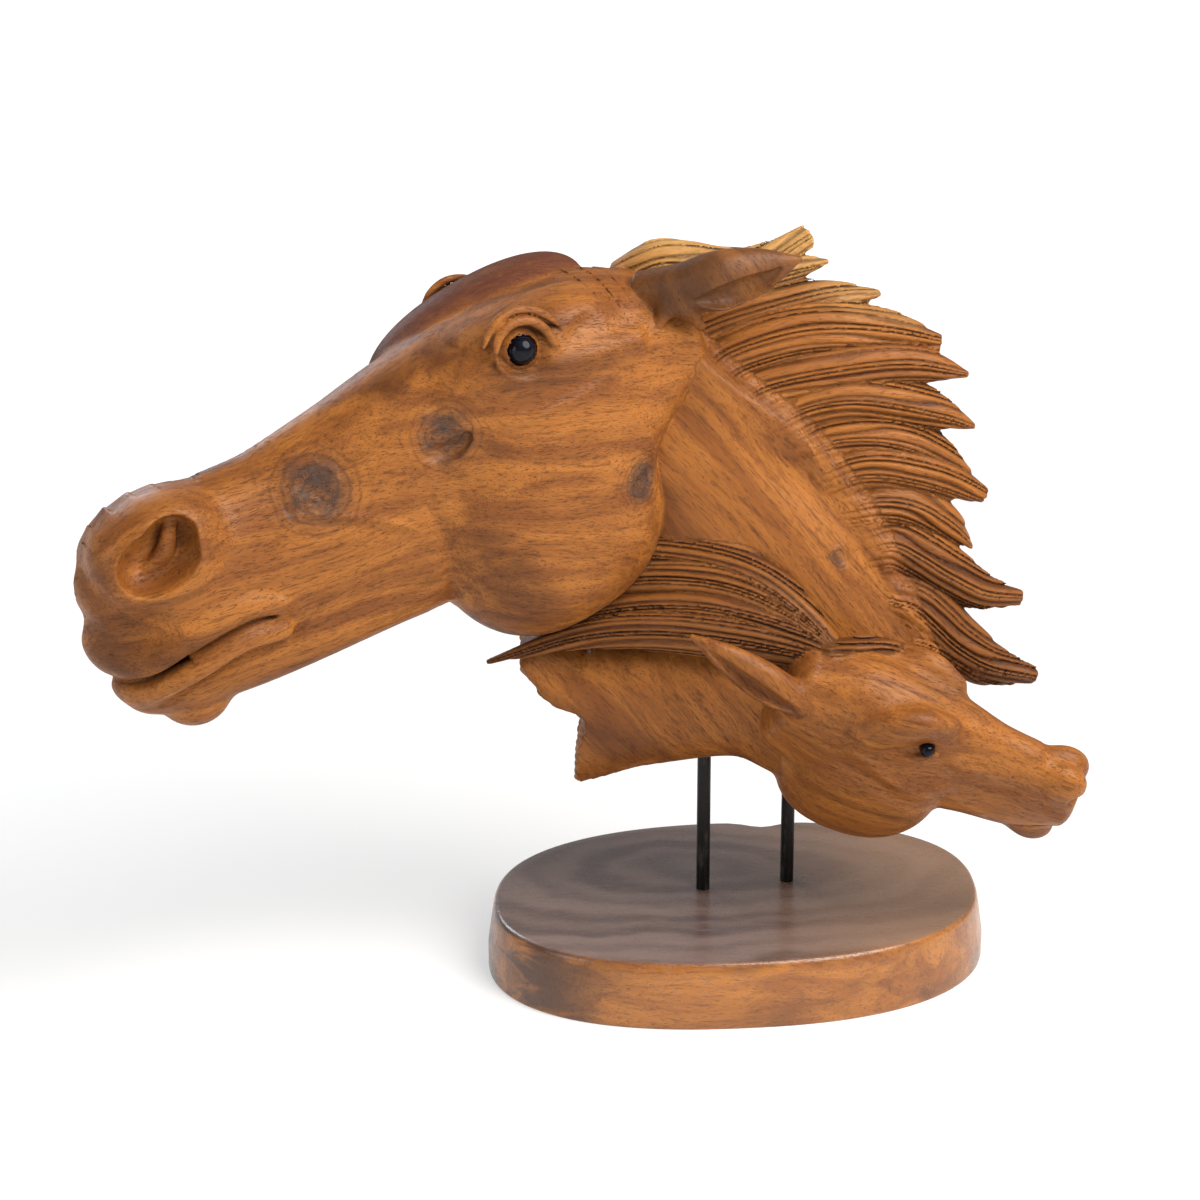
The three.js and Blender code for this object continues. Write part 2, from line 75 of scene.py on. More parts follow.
def count_setting(name, description, default, **limits):
    return bpy.props.IntProperty(name=name, description=description, default=default, **limits)


def colour_setting(name, description, default):
    return bpy.props.FloatVectorProperty(name=name, description=description, default=default, subtype="COLOR",
                                         min=0, max=1)


class CarvingSettings(bpy.types.PropertyGroup):
    """How finely the block is carved and the colours of its wood"""

    cut_size: length_setting("Cut size", "Spacing of the sculpting grid", 0.00115, min=0.0006, max=0.006)
    quick_cut_size: length_setting("Quick cut size", "Spacing for quick tries", 0.0022, min=0.001, max=0.01)
    faces: count_setting("Faces", "Triangles kept on the finished carving", 196000, min=20000, max=199000)
    light_wood: colour_setting("Light wood", "Pale bands of the grain", (0.37, 0.130, 0.022))
    mid_wood: colour_setting("Middle wood", "Main colour of the wood", (0.19, 0.058, 0.0105))
    # this colour does not darken the hollows: their painted shade, partly standing for staining, has a brown
    # of its own
    dark_wood: colour_setting("Dark wood", "Dark streaks and stained hollows", (0.045, 0.0125, 0.0035))
    sapwood: colour_setting("Sapwood", "Yellow outer wood at the top of the mane", (0.72, 0.43, 0.15))
    russet: colour_setting("Russet", "Rough red-brown wood beside the forehead", (0.105, 0.030, 0.014))


class SlabSettings(bpy.types.PropertyGroup):
    """The wooden slab the carving stands on"""

    length: length_setting("Length", "Left to right", 0.300)
    depth: length_setting("Depth", "Front to back", 0.232)
    thickness: length_setting("Thickness", "Height of the slab", 0.040)
    flare: length_setting("Flare", "How far the rim leans out below the top", 0.004)


class RodSettings(bpy.types.PropertyGroup):
    """The two black rods"""

    diameter: length_setting("Diameter", "Thickness of a rod", 0.0084)
    around: count_setting("Faces around", "Faces round each rod", 40, min=8)


class StageSettings(bpy.types.PropertyGroup):
    """Floor, light and camera"""

    floor_tone: share_setting("Floor tone", "Grey of the floor", 0.6)
    key_power: power_setting("Key light", "Main soft light", 46.0)
    fill_power: power_setting("Fill light", "Soft light from the left", 5.0)
    rim_power: power_setting("Rim light", "Cool light from behind on the left", 8.0)
    floor_glow: share_setting("Floor glow", "How much the floor shines by itself near the carving", 0.42)
    camera_tilt: bpy.props.FloatProperty(name="Camera tilt", description="How far the camera looks down",
                                         default=math.radians(16), subtype="ANGLE", unit="ROTATION")
    camera_distance: length_setting("Camera distance", "From the aim point", 1.6)
    focal_length: bpy.props.FloatProperty(name="Focal length", description="On a sensor 36 millimetres wide",
                                          default=80.0, unit="CAMERA")


# ---------------------------------------------------------------- sculpting tools (millimetres)


def through(knots, count):
    """A smooth curve through the knots, as count evenly spaced values or points."""
    k = np.asarray(knots, float)
    flat = k.ndim == 1
    if flat:
        k = k[:, None]
    k = np.vstack([2 * k[0] - k[1], k, 2 * k[-1] - k[-2]])
    t = np.linspace(0, len(k) - 3, count)
    i = np.minimum(t.astype(int), len(k) - 4)
    f = (t - i)[:, None]
    a, b, c, d = k[i], k[i + 1], k[i + 2], k[i + 3]
    out = 0.5 * (2 * b + (c - a) * f + (2 * a - 5 * b + 4 * c - d) * f**2 + (3 * b - a - 3 * c + d) * f**3)
    return out[:, 0] if flat else out


def fused(a, b, blend):
    """Smallest of two distances, rounded where they meet."""
    if blend <= 0:
        return np.minimum(a, b)
    h = np.clip(0.5 + 0.5 * (b - a) / blend, 0, 1)
    return b * (1 - h) + a * h - blend * h * (1 - h)


CORE = 0.3  # within this share of a lump's size its distance is taken as constant


class Blob:
    """Rounded lump; a power over 2 squares it off."""

    def __init__(self, centre, radii, power=2.0):
        self.centre, self.radii, self.power = np.asarray(centre, float), np.asarray(radii, float), power
        self.low, self.high = self.centre - self.radii, self.centre + self.radii

    def distance(self, points):
        x, n = np.abs(points - self.centre) / self.radii, self.power
        size = ((x**n).sum(1) + 1e-9) ** (1 / n)
        slope = size ** (1 - n) * np.sqrt((((x ** (n - 1)) / self.radii) ** 2).sum(1))
        return np.where(size < CORE, -self.radii.min() * (1 - CORE), (size - 1) / np.maximum(slope, 1e-6))


STRAND_NARROWING = 0.4  # how strongly strands narrow with their lock; 0 keeps them all as wide


class Sweep:
    """Body swept along a spine, its reach up, down and sideways given at each knot; a pitch furrows it."""

    def __init__(self, spine, up, down, side, top=(0, 0, 1), power=2.2, caps=(5, 5), count=36, pitch=0.0,
                 furrow_depth=0.0, seed=0.0):
        self.centre = through(spine, count)
        along = np.gradient(self.centre, axis=0)
        self.along = along / np.linalg.norm(along, axis=1)[:, None]
        upward = np.asarray(top, float) - self.along * (self.along @ np.asarray(top, float))[:, None]
        self.upward = upward / np.linalg.norm(upward, axis=1)[:, None]
        self.sideways = np.cross(self.along, self.upward)
        spread = lambda x: np.maximum(through(x, count) if np.ndim(x) else np.full(count, float(x)), 0.4)
        self.up, self.down, self.side = spread(up), spread(down), spread(side)
        self.power, self.caps, self.count = power, caps, count
        self.pitch, self.furrow_depth, self.seed = pitch, furrow_depth, seed
        self.length = np.linalg.norm(np.diff(self.centre, axis=0), axis=1).sum()
        reach = np.maximum(np.maximum(self.up, self.down), self.side)[:, None]
        self.low = (self.centre - reach).min(0) - max(caps)
        self.high = (self.centre + reach).max(0) + max(caps)

    def place(self, points):
        """Where each point is: along the spine (0..1), up, sideways, past the end, and the reaches there."""
        c = self.centre
        i = ((c * c).sum(1)[None] - 2 * points @ c.T).argmin(1)
        step = np.linalg.norm(np.diff(c, axis=0), axis=1)
        ahead = ((points - c[i]) * self.along[i]).sum(1)
        room = np.where(ahead >= 0, step[np.minimum(i, self.count - 2)], step[np.maximum(i - 1, 0)])
        f = np.clip(i + np.clip(ahead / room, -1, 1), 0, self.count - 1)
        j = np.minimum(f.astype(int), self.count - 2)
        w = f - j
        mix = lambda v: (v[j].T * (1 - w) + v[j + 1].T * w).T
        q = points - mix(c)
        up, side = (q * mix(self.upward)).sum(1), (q * mix(self.sideways)).sum(1)
        past = np.where((f <= 0) | (f >= self.count - 1), (q * mix(self.along)).sum(1), 0.0)
        return f / (self.count - 1), up, side, past, mix(self.up), mix(self.down), mix(self.side)

    def strand(self, t, side, reach):
        """Running number of the hair strand at a place; whole numbers are the valleys between strands."""
        number = side / (self.pitch * (reach / self.side.max()) ** STRAND_NARROWING)
        number = number + 0.3 * np.sin(1.9 * number + self.seed) + 0.25 * np.sin(0.8 * number + 3 * t)
        return number + 0.4 * np.sin(4 * t + self.seed) + 0.15 * np.sin(11 * t + 3 * self.seed) + self.seed

    def distance(self, points):
        t, up, side, past, reach_up, reach_down, reach_side = self.place(points)
        reach = np.where(up > 0, reach_up, reach_down)
        n = self.power
        if np.ndim(n):
            n = np.interp(t, np.linspace(0, 1, len(n)), n)
        cap = np.where(t < 0.5, self.caps[0], self.caps[1])
        x, y, z = np.abs(up) / reach, np.abs(side) / reach_side, np.abs(past) / cap
        size = (x**n + y**n + z**n + 1e-9) ** (1 / n)
        slope = size ** (1 - n) * np.sqrt(
            (x ** (n - 1) / reach) ** 2 + (y ** (n - 1) / reach_side) ** 2 + (z ** (n - 1) / cap) ** 2)
        d = (size - 1) / np.maximum(slope, 1e-6)
        d = np.where(size < CORE, -np.minimum(reach, reach_side) * (1 - CORE), d)
        if self.pitch:
            s = self.strand(t, side, reach_side)
            own = 0.85 + 0.35 * np.sin(1.3 * s + 5 * self.seed)
            fade = np.clip(reach_side / (0.45 * self.side.max()), 0.25, 1) * np.clip(t * 12 + 0.4, 0, 1)
            d = d + self.furrow_depth * own * fade * (1 - np.abs(np.sin(np.pi * s)))
        return d


def tube(spine, reach, side, *rest, **options):
    """A sweep that reaches as far down as up."""
    return Sweep(spine, reach, reach, side, *rest, **options)


REACHED = 14.0  # a lump farther off than this can't change the surface


class Clay:
    """Lumps added to and cut from one frame, in order."""

    def __init__(self):
        self.steps = []

    def add(self, lump, blend):
        self.steps.append((lump, blend, 1))
        return lump

    def cut(self, lump, blend):
        self.steps.append((lump, blend, -1))
        return lump

    def distance(self, points, start=None):
        d = np.full(len(points), 1e3) if start is None else start.copy()
        for lump, blend, sign in self.steps:
            reach = blend + REACHED
            near = np.all((points > lump.low - reach) & (points < lump.high + reach), axis=1)
            if near.any():
                d[near] = sign * fused(sign * d[near], lump.distance(points[near]), blend)
        return d


def carved_surface(distance, low, high, cut, ratio=4, chunk=150000):
    """Closed quad surface where distance is zero: coarse cells first, then fine ones near the surface."""
    low = np.asarray(low, float)
    coarse = cut * ratio
    n = np.ceil((np.asarray(high) - low) / coarse).astype(int)
    centres = np.stack(np.meshgrid(*[low[a] + coarse * (np.arange(n[a]) + 0.5) for a in range(3)],
                                   indexing="ij"), -1).reshape(-1, 3)
    d = np.concatenate([distance(centres[i:i + chunk]) for i in range(0, len(centres), chunk)])
    swell = lambda v: np.repeat(np.repeat(np.repeat(v.reshape(n), ratio, 0), ratio, 1), ratio, 2)
    volume = swell(d.astype(np.float32))
    fine = np.argwhere(swell(np.abs(d) < coarse * 1.3))
    for i in range(0, len(fine), chunk):
        part = fine[i:i + chunk]
        volume[tuple(part.T)] = distance(low + cut * (part + 0.5))
    return surface_nets(volume, low + cut * 0.5, cut)


def surface_nets(volume, base, cut):
    """One vertex in each cell the surface crosses, one quad round each crossed grid edge."""
    inside = volume < 0
    shape = volume.shape
    corners = [(i, j, k) for i in (0, 1) for j in (0, 1) for k in (0, 1)]
    window = lambda o: tuple(slice(o[a], shape[a] - 1 + o[a]) for a in range(3))
    filled = sum(inside[window(o)].astype(np.int8) for o in corners)
    active = (filled > 0) & (filled < 8)
    cells = np.argwhere(active)
    index = np.full(active.shape, -1, np.int64)
    index[active] = np.arange(len(cells))
    total, hits = np.zeros((len(cells), 3)), np.zeros(len(cells))
    for a in corners:
        for axis in range(3):
            if a[axis]:
                continue
            b = list(a)
            b[axis] = 1
            va = volume[cells[:, 0] + a[0], cells[:, 1] + a[1], cells[:, 2] + a[2]].astype(float)
            vb = volume[cells[:, 0] + b[0], cells[:, 1] + b[1], cells[:, 2] + b[2]].astype(float)
            crossed = (va < 0) != (vb < 0)
            at = np.where(crossed, va / np.where(crossed, va - vb, 1), 0)
            spot = np.repeat(np.array(a, float)[None], len(cells), 0)
            spot[:, axis] += at
            total += spot * crossed[:, None]
            hits += crossed
    vertices = base + cut * (cells + total / hits[:, None])
    quads = []
    for axis in range(3):
        lower = [slice(1, m - 1) for m in shape]
        upper = list(lower)
        lower[axis], upper[axis] = slice(0, shape[axis] - 1), slice(1, shape[axis])
        below = inside[tuple(lower)]
        edges = np.argwhere(below != inside[tuple(upper)])
        p = edges + [0 if a == axis else 1 for a in range(3)]
        first, second = [a for a in range(3) if a != axis]
        ring = []
        for di, dj in ((-1, -1), (0, -1), (0, 0), (-1, 0)):
            r = p.copy()
            r[:, first] += di
            r[:, second] += dj
            ring.append(index[r[:, 0], r[:, 1], r[:, 2]])
        ring = np.stack(ring, 1)
        up = below[tuple(edges.T)] ^ (axis == 1)
        ring[~up] = ring[~up][:, ::-1]
        quads.append(ring)
    return vertices, np.concatenate(quads)


def slope_of(distance, points, step=0.35):
    """Outward unit direction of the surface at each point."""
    out = np.empty_like(points)
    for axis in range(3):
        move = np.zeros(3)
        move[axis] = step
        out[:, axis] = distance(points + move) - distance(points - move)
    return out / (np.linalg.norm(out, axis=1)[:, None] + 1e-12)


# ---------------------------------------------------------------- the carving


class Head:
    """A head's own directions: u from muzzle to poll, v to the top of the head, w to the near side."""

    def __init__(self, muzzle, pitch, yaw, roll, facing):
        a, y, r = (math.radians(x) for x in (pitch, yaw, roll))
        u = np.array([facing * math.cos(a) * math.cos(y), math.cos(a) * math.sin(y), math.sin(a)])
        level = np.array([facing * math.sin(y), -math.cos(y), 0.0])
        raised = np.cross(level, u) * facing
        v = raised * math.cos(r) + level * math.sin(r)
        w = level * math.cos(r) - raised * math.sin(r)
        self.muzzle, self.axes = np.array(muzzle, float), np.array([u, v, w])

    def inward(self, points):
        return (points - self.muzzle) @ self.axes.T


MARE = Head((-365, -145, 276), 26, 24, 2, 1)
MARE_ROOF = 0.14  # how steeply her face falls away to each side
MARE_ROOF_RIDGE = 8  # how broadly that roof is rounded along the middle
MARE_SEAM = 5  # how broadly the two halves run into each other
MARE_FAR_SHARE = 1.1  # how much narrower the far half is
MARE_FAR_MUZZLE_SHARE = 0.16  # and how much more so at the muzzle
MARE_FAR_DROP = 7.0  # how much lower the far side of the muzzle lies
FOAL = Head((193, -60, 136), 21, 0, 36, -1)
V_UP = (0, 1, 0)
OUTWARD = (0, 0, 1)


def eased(x, low, high):
    """0 below low, 1 above high, smooth between."""
    t = np.clip((x - low) / (high - low), 0, 1)
    return t * t * (3 - 2 * t)


def mare_fold(q):
    """Both halves of the mare's head brought onto one, with its roof shape straightened out."""
    u, v, w = q.T
    muzzle = 1 - eased(u, 60, 120)
    drop = MARE_FAR_DROP * muzzle * eased(-w, 0, 18)
    narrower = (MARE_FAR_SHARE - 1 + MARE_FAR_MUZZLE_SHARE * muzzle) * eased(-w, 0, 16)
    roof = MARE_ROOF * (np.hypot(w, MARE_ROOF_RIDGE) - MARE_ROOF_RIDGE)
    return np.stack([u, v + roof + drop, np.hypot(w, MARE_SEAM) * (1 + narrower)], 1)


class Crease:
    """A raised ridge or a sunk line drawn on the side of a head, along points given as (u, v)."""

    def __init__(self, points, height, width, clear=8.0):
        self.line = through(points, 30)
        self.height, self.width, self.clear = height, width, clear
        self.low, self.high = self.line.min(0) - 3 * width, self.line.max(0) + 3 * width

    def lift(self, q):
        out = np.zeros(len(q))
        near = np.flatnonzero(np.all((q[:, :2] > self.low) & (q[:, :2] < self.high), axis=1)
                              & (q[:, 2] > self.clear))
        if len(near) == 0:
            return out
        gap = q[near, None, :2] - self.line[None]
        squared = (gap**2).sum(2)
        at = squared.argmin(1)
        ends = np.minimum(1, np.minimum(at, len(self.line) - 1 - at) / 6 + 0.15)
        out[near] = self.height * ends * np.exp(-squared[np.arange(len(near)), at] / self.width**2)
        return out


class KnotRipples:
    """Low ripples and a sunk cracked heart where a branch once grew."""

    def __init__(self, centre, radius, sink):
        self.centre, self.radius, self.sink = np.asarray(centre, float), radius, sink

    def lift(self, points):
        out = np.zeros(len(points))
        gap = points - self.centre
        far = np.linalg.norm(gap, axis=1) / self.radius
        near = np.flatnonzero(far < 2.2)
        x, y, z = gap[near].T
        wobble = np.sin(0.31 * x + 0.42 * z) + np.sin(0.53 * z - 0.27 * x + 1.7)
        wobble = wobble + 0.5 * np.sin(1.1 * x + 0.8 * y)
        r = far[near] + 0.1 * wobble
        heart = np.exp(-(r / 0.45) ** 2) * (1 + 0.2 * np.sin(0.9 * x + 1.2 * z))
        out[near] = 0.3 * np.sin(9.0 * r) * np.exp(-((r - 0.8) / 0.55) ** 2) - self.sink * heart
        return out


def skull(clay, u, top, bottom, side, power, caps):
    """The long body of a head, from its top and bottom lines and half width along u."""
    half = [(t - b) / 2 for t, b in zip(top, bottom)]
    spine = [(x, (t + b) / 2, 0) for x, t, b in zip(u, top, bottom)]
    return clay.add(Sweep(spine, half, half, side, V_UP, power, caps, 48), 6)


def mare_half():
    """One half of the mare's head, used on both sides."""
    c = Clay()
    skull(c, [10, 34, 65, 105, 150, 195, 240, 285, 325, 362], [12, 32, 28, 21.5, 22, 25, 26.5, 24, 14, -10],
          [-50, -64, -86, -103, -112, -118, -114, -108, -95, -80], [25, 35, 35, 34, 37, 42, 47, 51, 49, 40],
          [2.6, 2.4, 2.2, 2.3, 2.5, 2.8, 3.0, 3.0, 2.6, 2.3], (15, 16))
    mare_lips(c)
    c.add(Blob((42, 9, 21), (37, 28, 23), 2.2), 12)
    # the round cheek, the brow, the cheekbone and the hollow above it
    c.add(Blob((246, -92, 12), (72, 72, 46), 2.4), 3.5)
    c.add(Blob((266, -52, 20), (62, 56, 36), 2.5), 14)
    c.add(Blob((272, -2, 28), (54, 27, 25), 2.4), 10)
    c.add(Sweep([(282, -6, 46), (305, -10, 47), (330, -19, 43)], [7, 6, 6], [9, 10, 9], [8, 8, 7], V_UP,
                caps=(6, 6)), 6)
    c.cut(Blob((314, 7, 57), (23, 8, 12)), 5)
    return c


def mare_lips(c):
    """Lower jaw, chin, both lips and the mouth slit."""
    c.add(Sweep([(-2, -62, 0), (24, -70, 0), (80, -78, 0), (160, -90, 0)], 13, [10, 19, 25, 20],
                [19, 27, 29, 31], V_UP, caps=(9, 10)), 7)
    c.add(Blob((25, -85, 0), (22, 19, 22)), 6)
    c.add(Blob((8, -70, 0), (19, 15, 19)), 7)
    c.add(Blob((5, -32, 0), (22, 19, 25)), 8)
    c.add(Sweep([(-7, -43, 0), (6, -43, 25), (32, -40, 33), (64, -42, 33), (84, -52, 33)], [9, 9, 9, 8, 4],
                [6, 6, 6, 5, 3], [7, 7, 6, 5, 2], V_UP, caps=(7, 3)), 9)
    c.add(Sweep([(-8, -59, 0), (2, -59, 20), (26, -56, 32), (58, -56, 34), (80, -65, 32)], [5, 5, 5, 5, 4],
                [8, 8, 7, 6, 5], [7, 7, 6.5, 5.5, 4], V_UP, caps=(7, 5)), 6)
    c.cut(Sweep([(-26, -50, 0), (-12, -53, 20), (4, -52, 33), (20, -48.5, 39), (37, -47, 41), (54, -47.3, 42),
                 (70, -49.5, 42), (80, -53.5, 41)], [1.6, 1.6, 1.6, 1.7, 1.8, 1.9, 2.0, 1.4],
                [1.6, 1.6, 1.6, 1.7, 1.8, 1.9, 2.0, 1.4], 9, V_UP, caps=(4, 2)), 1.8)


EYE_AT = (267, 14)
EYEBALL = 14.6
EYE_POCKET = 8.8
FOAL_EYE_POCKET = 4.8


def round_eye(degrees, distances, w):
    """Points at the given directions and distances from the middle of the eye."""
    turns = [math.radians(a) for a in degrees]
    return [(EYE_AT[0] + r * math.cos(a), EYE_AT[1] + r * math.sin(a), w - 0.02 * r)
            for a, r in zip(turns, distances)]


def mare_eyes():
    """Socket, eyeball, eyelids and the pocket for the bead, on both sides."""
    c = Clay()
    u, v = EYE_AT
    c.cut(Blob((u, v, 58), (17.5, 17, 12)), 2)
    c.add(Blob((u, v, 40), [EYEBALL] * 3), 0.6)
    upper = round_eye([158, 120, 85, 50, 15, -15, -42], [16.5, 16.8, 17, 17, 17, 18.5, 24], 52)
    lower = round_eye([158, 195, 235, 275, 300, 318], [16.5, 16, 16, 16.5, 18.5, 24], 51)
    fold = round_eye([146, 115, 85, 55, 25, -2], [22.5, 22, 22.5, 22.5, 23, 26], 50)
    for line, thick, blend in ((upper, 2.7, 1.2), (lower, 1.9, 1.2), (fold, 2.3, 1.6)):
        taper = [0.45] + [1.0] * (len(line) - 2) + [0.3]
        reach = [thick * s for s in taper]
        c.add(tube(line, reach, reach, OUTWARD, 2.0, (1, 1)), blend)
    c.cut(Blob((u, v, 49), [EYE_POCKET] * 3), 0)
    return c


MARE_CREASES = [
    Crease([(104, -8), (119, -13), (133, -20), (154, -34), (166, -46), (174, -54)], 1.5, 2.6),
    Crease([(110, -3), (128, -22), (150, -40), (163, -52)], -0.9, 2.2),
    Crease([(185, -34), (183, -58), (179, -86), (174, -108)], -2.4, 5.0),
    Crease([(95, -78), (130, -84), (160, -88), (184, -86)], -0.9, 3.0),
    Crease([(100, -62), (135, -68), (166, -72)], -0.7, 2.6),
    Crease([(112, -90), (144, -96), (168, -96)], -0.6, 2.4),
    Crease([(62, -2), (76, -14), (90, -18), (104, -14)], -1.1, 4.0),
    Crease([(0, -70), (26, -67), (56, -67), (84, -72), (96, -66)], -1.3, 3.0, 4),
    Crease([(84, -46), (93, -56), (92, -68)], 0.6, 3.4),
    Crease([(234, 26), (243, 20), (252, 16)], -1.1, 2.0),
    Crease([(232, 12), (242, 8), (250, 5)], -0.9, 1.8),
    Crease([(236, -14), (262, -22), (292, -25), (324, -24)], 1.8, 4.5),
    Crease([(196, -36), (202, -8), (214, 8)], -0.7, 2.4),
    Crease([(300, -30), (312, -62), (313, -92), (305, -124)], 1.2, 5.0),
]


def mare_whole():
    """What differs between the two sides of the mare's head."""
    c = Clay()
    c.add(Blob((269, 2, -25), (72, 30.5, 29), 2.2), 4)
    c.cut(Sweep([(190, -17, 43), (199, -21, 42.5), (209, -24, 43), (219, -22, 44)], [1.5, 4, 4, 1.5],
                [1.5, 4.5, 4.5, 1.5], [3, 5, 5, 3], OUTWARD, caps=(3, 3)), 3)
    c.cut(Blob((209, -5, 43.5), (7, 3, 4)), 3)
    # the near nostril is deep with a fold carved inside it, the far one only dished
    c.cut(Blob((38, 7, 45), (24, 17.5, 24), 2.2), 2.5)
    c.cut(Blob((49, 13, 34), (16, 13, 14)), 3)
    fold = [2.5, 3.5, 2.5]
    c.add(tube([(58, 21, 24), (47, 7, 25), (35, 0, 22)], fold, [3, 5, 4], OUTWARD, caps=(3, 3)), 4)
    c.cut(Blob((50, -2, -44), (11, 9, 8), 2.2), 5)
    c.add(Blob((15, -10, -12), (16, 24, 15)), 10)
    return c


def bezier(points, count=6):
    """Points along the curve from the first point to the last, led by the two between."""
    a, b, c, d = (np.array(p, float) for p in points)
    t = np.linspace(0, 1, count)[:, None]
    return (1 - t) ** 3 * a + 3 * t * (1 - t) ** 2 * b + 3 * t * t * (1 - t) * c + t**3 * d


def lock(points, width, thickness, widths, strands, seed):
    """One tapering lock of hair from its root past two guides to its tip."""
    reach = [thickness * s for s in (1, 1, 0.95, 0.85, 0.65, 0.3)]
    side = [width * s for s in widths]
    return tube(bezier(points), reach, side, V_UP, 2.0, (6, 2), 30, *strands, seed)


TAPER = (0.95, 1.1, 1.06, 0.95, 0.66, 0.12)
BLUNT = (0.9, 1.1, 1.0, 0.9, 0.8, 0.55)
HOOKED = (0.95, 1.1, 1.06, 0.95, 0.7, 0.3)
MANE_LOCKS = [
    ([(-72, 2, 422), (-36, 2, 450), (-18, 4, 408), (36, 6, 447)], 13, 14, BLUNT),
    ([(-56, 0, 393), (-27, 0, 416), (8, 3, 427), (46, 6, 432)], 16, 14, TAPER),
    ([(-45, -2, 384), (-15, -2, 393), (31, 3, 410), (77, 8, 413)], 19, 16, TAPER),
    ([(-27, -4, 369), (8, -4, 393), (66, 0, 399), (113, 4, 384)], 20, 18, HOOKED),
    ([(-8, -4, 353), (32, -4, 370), (84, -2, 381), (129, 0, 367)], 19, 18, TAPER),
    ([(10, -4, 340), (55, -4, 367), (97, -2, 352), (134, 0, 336)], 18, 18, TAPER),
    ([(28, -4, 324), (67, -4, 346), (104, 0, 327), (133, 4, 308)], 17, 17, TAPER),
    ([(44, -4, 308), (80, -4, 322), (110, 0, 309), (143, 4, 293)], 17, 17, HOOKED),
    ([(58, -4, 287), (87, -4, 298), (117, 0, 285), (136, 4, 262)], 15, 16, TAPER),
    ([(73, -4, 262), (99, -4, 280), (125, -1, 229), (167, 2, 230)], 17, 16, HOOKED),
    ([(85, -4, 235), (112, -4, 236), (126, -1, 188), (178, 2, 181)], 18, 15, HOOKED),
    ([(95, -2, 211), (113, -2, 217), (133, 1, 185), (164, 4, 176)], 14, 14, TAPER),
]
SPREADING = (0.3, 0.7, 1, 1, 0.9, 0.6)
POINTED = (0.45, 0.8, 1, 0.9, 0.6, 0.12)
FORELOCK = (0.5, 0.8, 1, 1, 0.9, 0.7)
FOAL_LOCKS = [
    ([(53, -58, 215), (14, -41, 256), (-26, -24, 269), (-91, -24, 260)], 17, 10, SPREADING),
    ([(53, -58, 215), (17, -44, 242), (-26, -30, 259), (-103, -30, 238)], 17, 10, SPREADING),
    ([(52, -60, 215), (14, -49, 228), (-32, -38, 240), (-117, -38, 220)], 15, 9, SPREADING),
    ([(51, -60, 212), (14, -52, 214), (-62, -44, 242), (-150, -44, 204)], 14, 8, POINTED),
    ([(47, -62, 216), (70, -57, 217), (90, -50, 209), (112, -48, 194)], 11, 9, FORELOCK),
]

MANE_STRANDS = (3.7, 1.9)  # width and depth of a strand
FOAL_STRANDS = (3.2, 1.8)

# the broken left end of the foal's neck, from its top down
BROKEN_EDGE_Z = [212, 203, 192, 180, 171, 167, 160, 152, 144, 134, 124, 112]
BROKEN_EDGE_X = [-133, -132, -131, -122, -111, -99, -94, -95, -97, -98.5, -99, -96]


class BrokenEnd:
    """Everything left of the broken edge, uneven from front to back."""

    low, high = np.array([-260.0, -90, 100]), np.array([-70.0, 90, 214])
    lean = 0.8  # the edge slants, so a step in x is this much of a step away from it

    def distance(self, points):
        x, y, z = points.T
        edge = np.interp(z + 0.06 * y, BROKEN_EDGE_Z[::-1], BROKEN_EDGE_X[::-1])
        ragged = 1.2 * np.sin(0.33 * y + 0.2 * z) + 0.6 * np.sin(0.8 * z - 0.5 * y)
        return (x - edge - ragged) * self.lean


NECK_CREST = [(-51, -24, 406), (-27, -26, 379), (-4, -22, 359), (26, -16, 336), (50, -10, 309), (74, -8, 273),
              (90, -8, 236), (104, -8, 200), (117, -8, 179)]
NECK_MIDDLE_Y = 5


def body():
    """Neck, mane, the foal's neck and hair, and the ears; returns the clay and its locks of hair."""
    c = Clay()
    foal_neck = [(-124, -4, 196), (-100, -4, 178), (-55, -4, 172), (0, -4, 172), (40, -6, 160)]
    c.add(Sweep(foal_neck, [26, 36, 44, 46, 44], [62, 63, 42, 36, 40], [30, 35, 41, 42, 42], power=2.6,
                caps=(14, 10)), 0)
    c.cut(BrokenEnd(), 1.5)
    neck = [(-80, 4, 372), (-52, 5, 335), (-18, 6, 292), (18, 6, 250), (46, 6, 212), (64, 4, 176)]
    c.add(Sweep(neck, [46, 58, 58, 58, 50, 48], [40, 55, 60, 58, 52, 40], [34, 38, 41, 42, 41, 38],
                (0.75, 0, 0.66), 2.4, (14, 14)), 8)
    # the thin sheet that the locks of the mane stand on
    sheet = [(-48, 4, 402), (-18, 4, 402), (22, 3, 394), (60, 2, 366), (84, 2, 330), (98, 2, 285),
             (112, 2, 244), (118, 2, 212)]
    c.add(Sweep(sheet, [8, 14, 24, 29, 29, 26, 20, 12], [20, 34, 36, 40, 38, 34, 28, 20],
                [20, 17, 14, 13, 12, 11, 10, 9], (0.6, 0, 0.8), caps=(8, 8)), 5)
    locks = []
    for i, (points, width, thickness, widths) in enumerate(MANE_LOCKS):
        locks.append(c.add(lock(points, width, thickness, widths, MANE_STRANDS, 1.3 * i), 1.6))
    for far in (False, True):
        line = [(x, 2 * NECK_MIDDLE_Y - y if far else y, z) for x, y, z in NECK_CREST]
        c.add(Sweep(line, 5, 20, 10, (0.7, 0, 0.7), count=110), 14)
    for i, (points, width, thickness, widths) in enumerate(FOAL_LOCKS):
        locks.append(c.add(lock(points, width, thickness, widths, FOAL_STRANDS, 20 + 1.7 * i), 1.4))
    ears(c)
    return c, locks


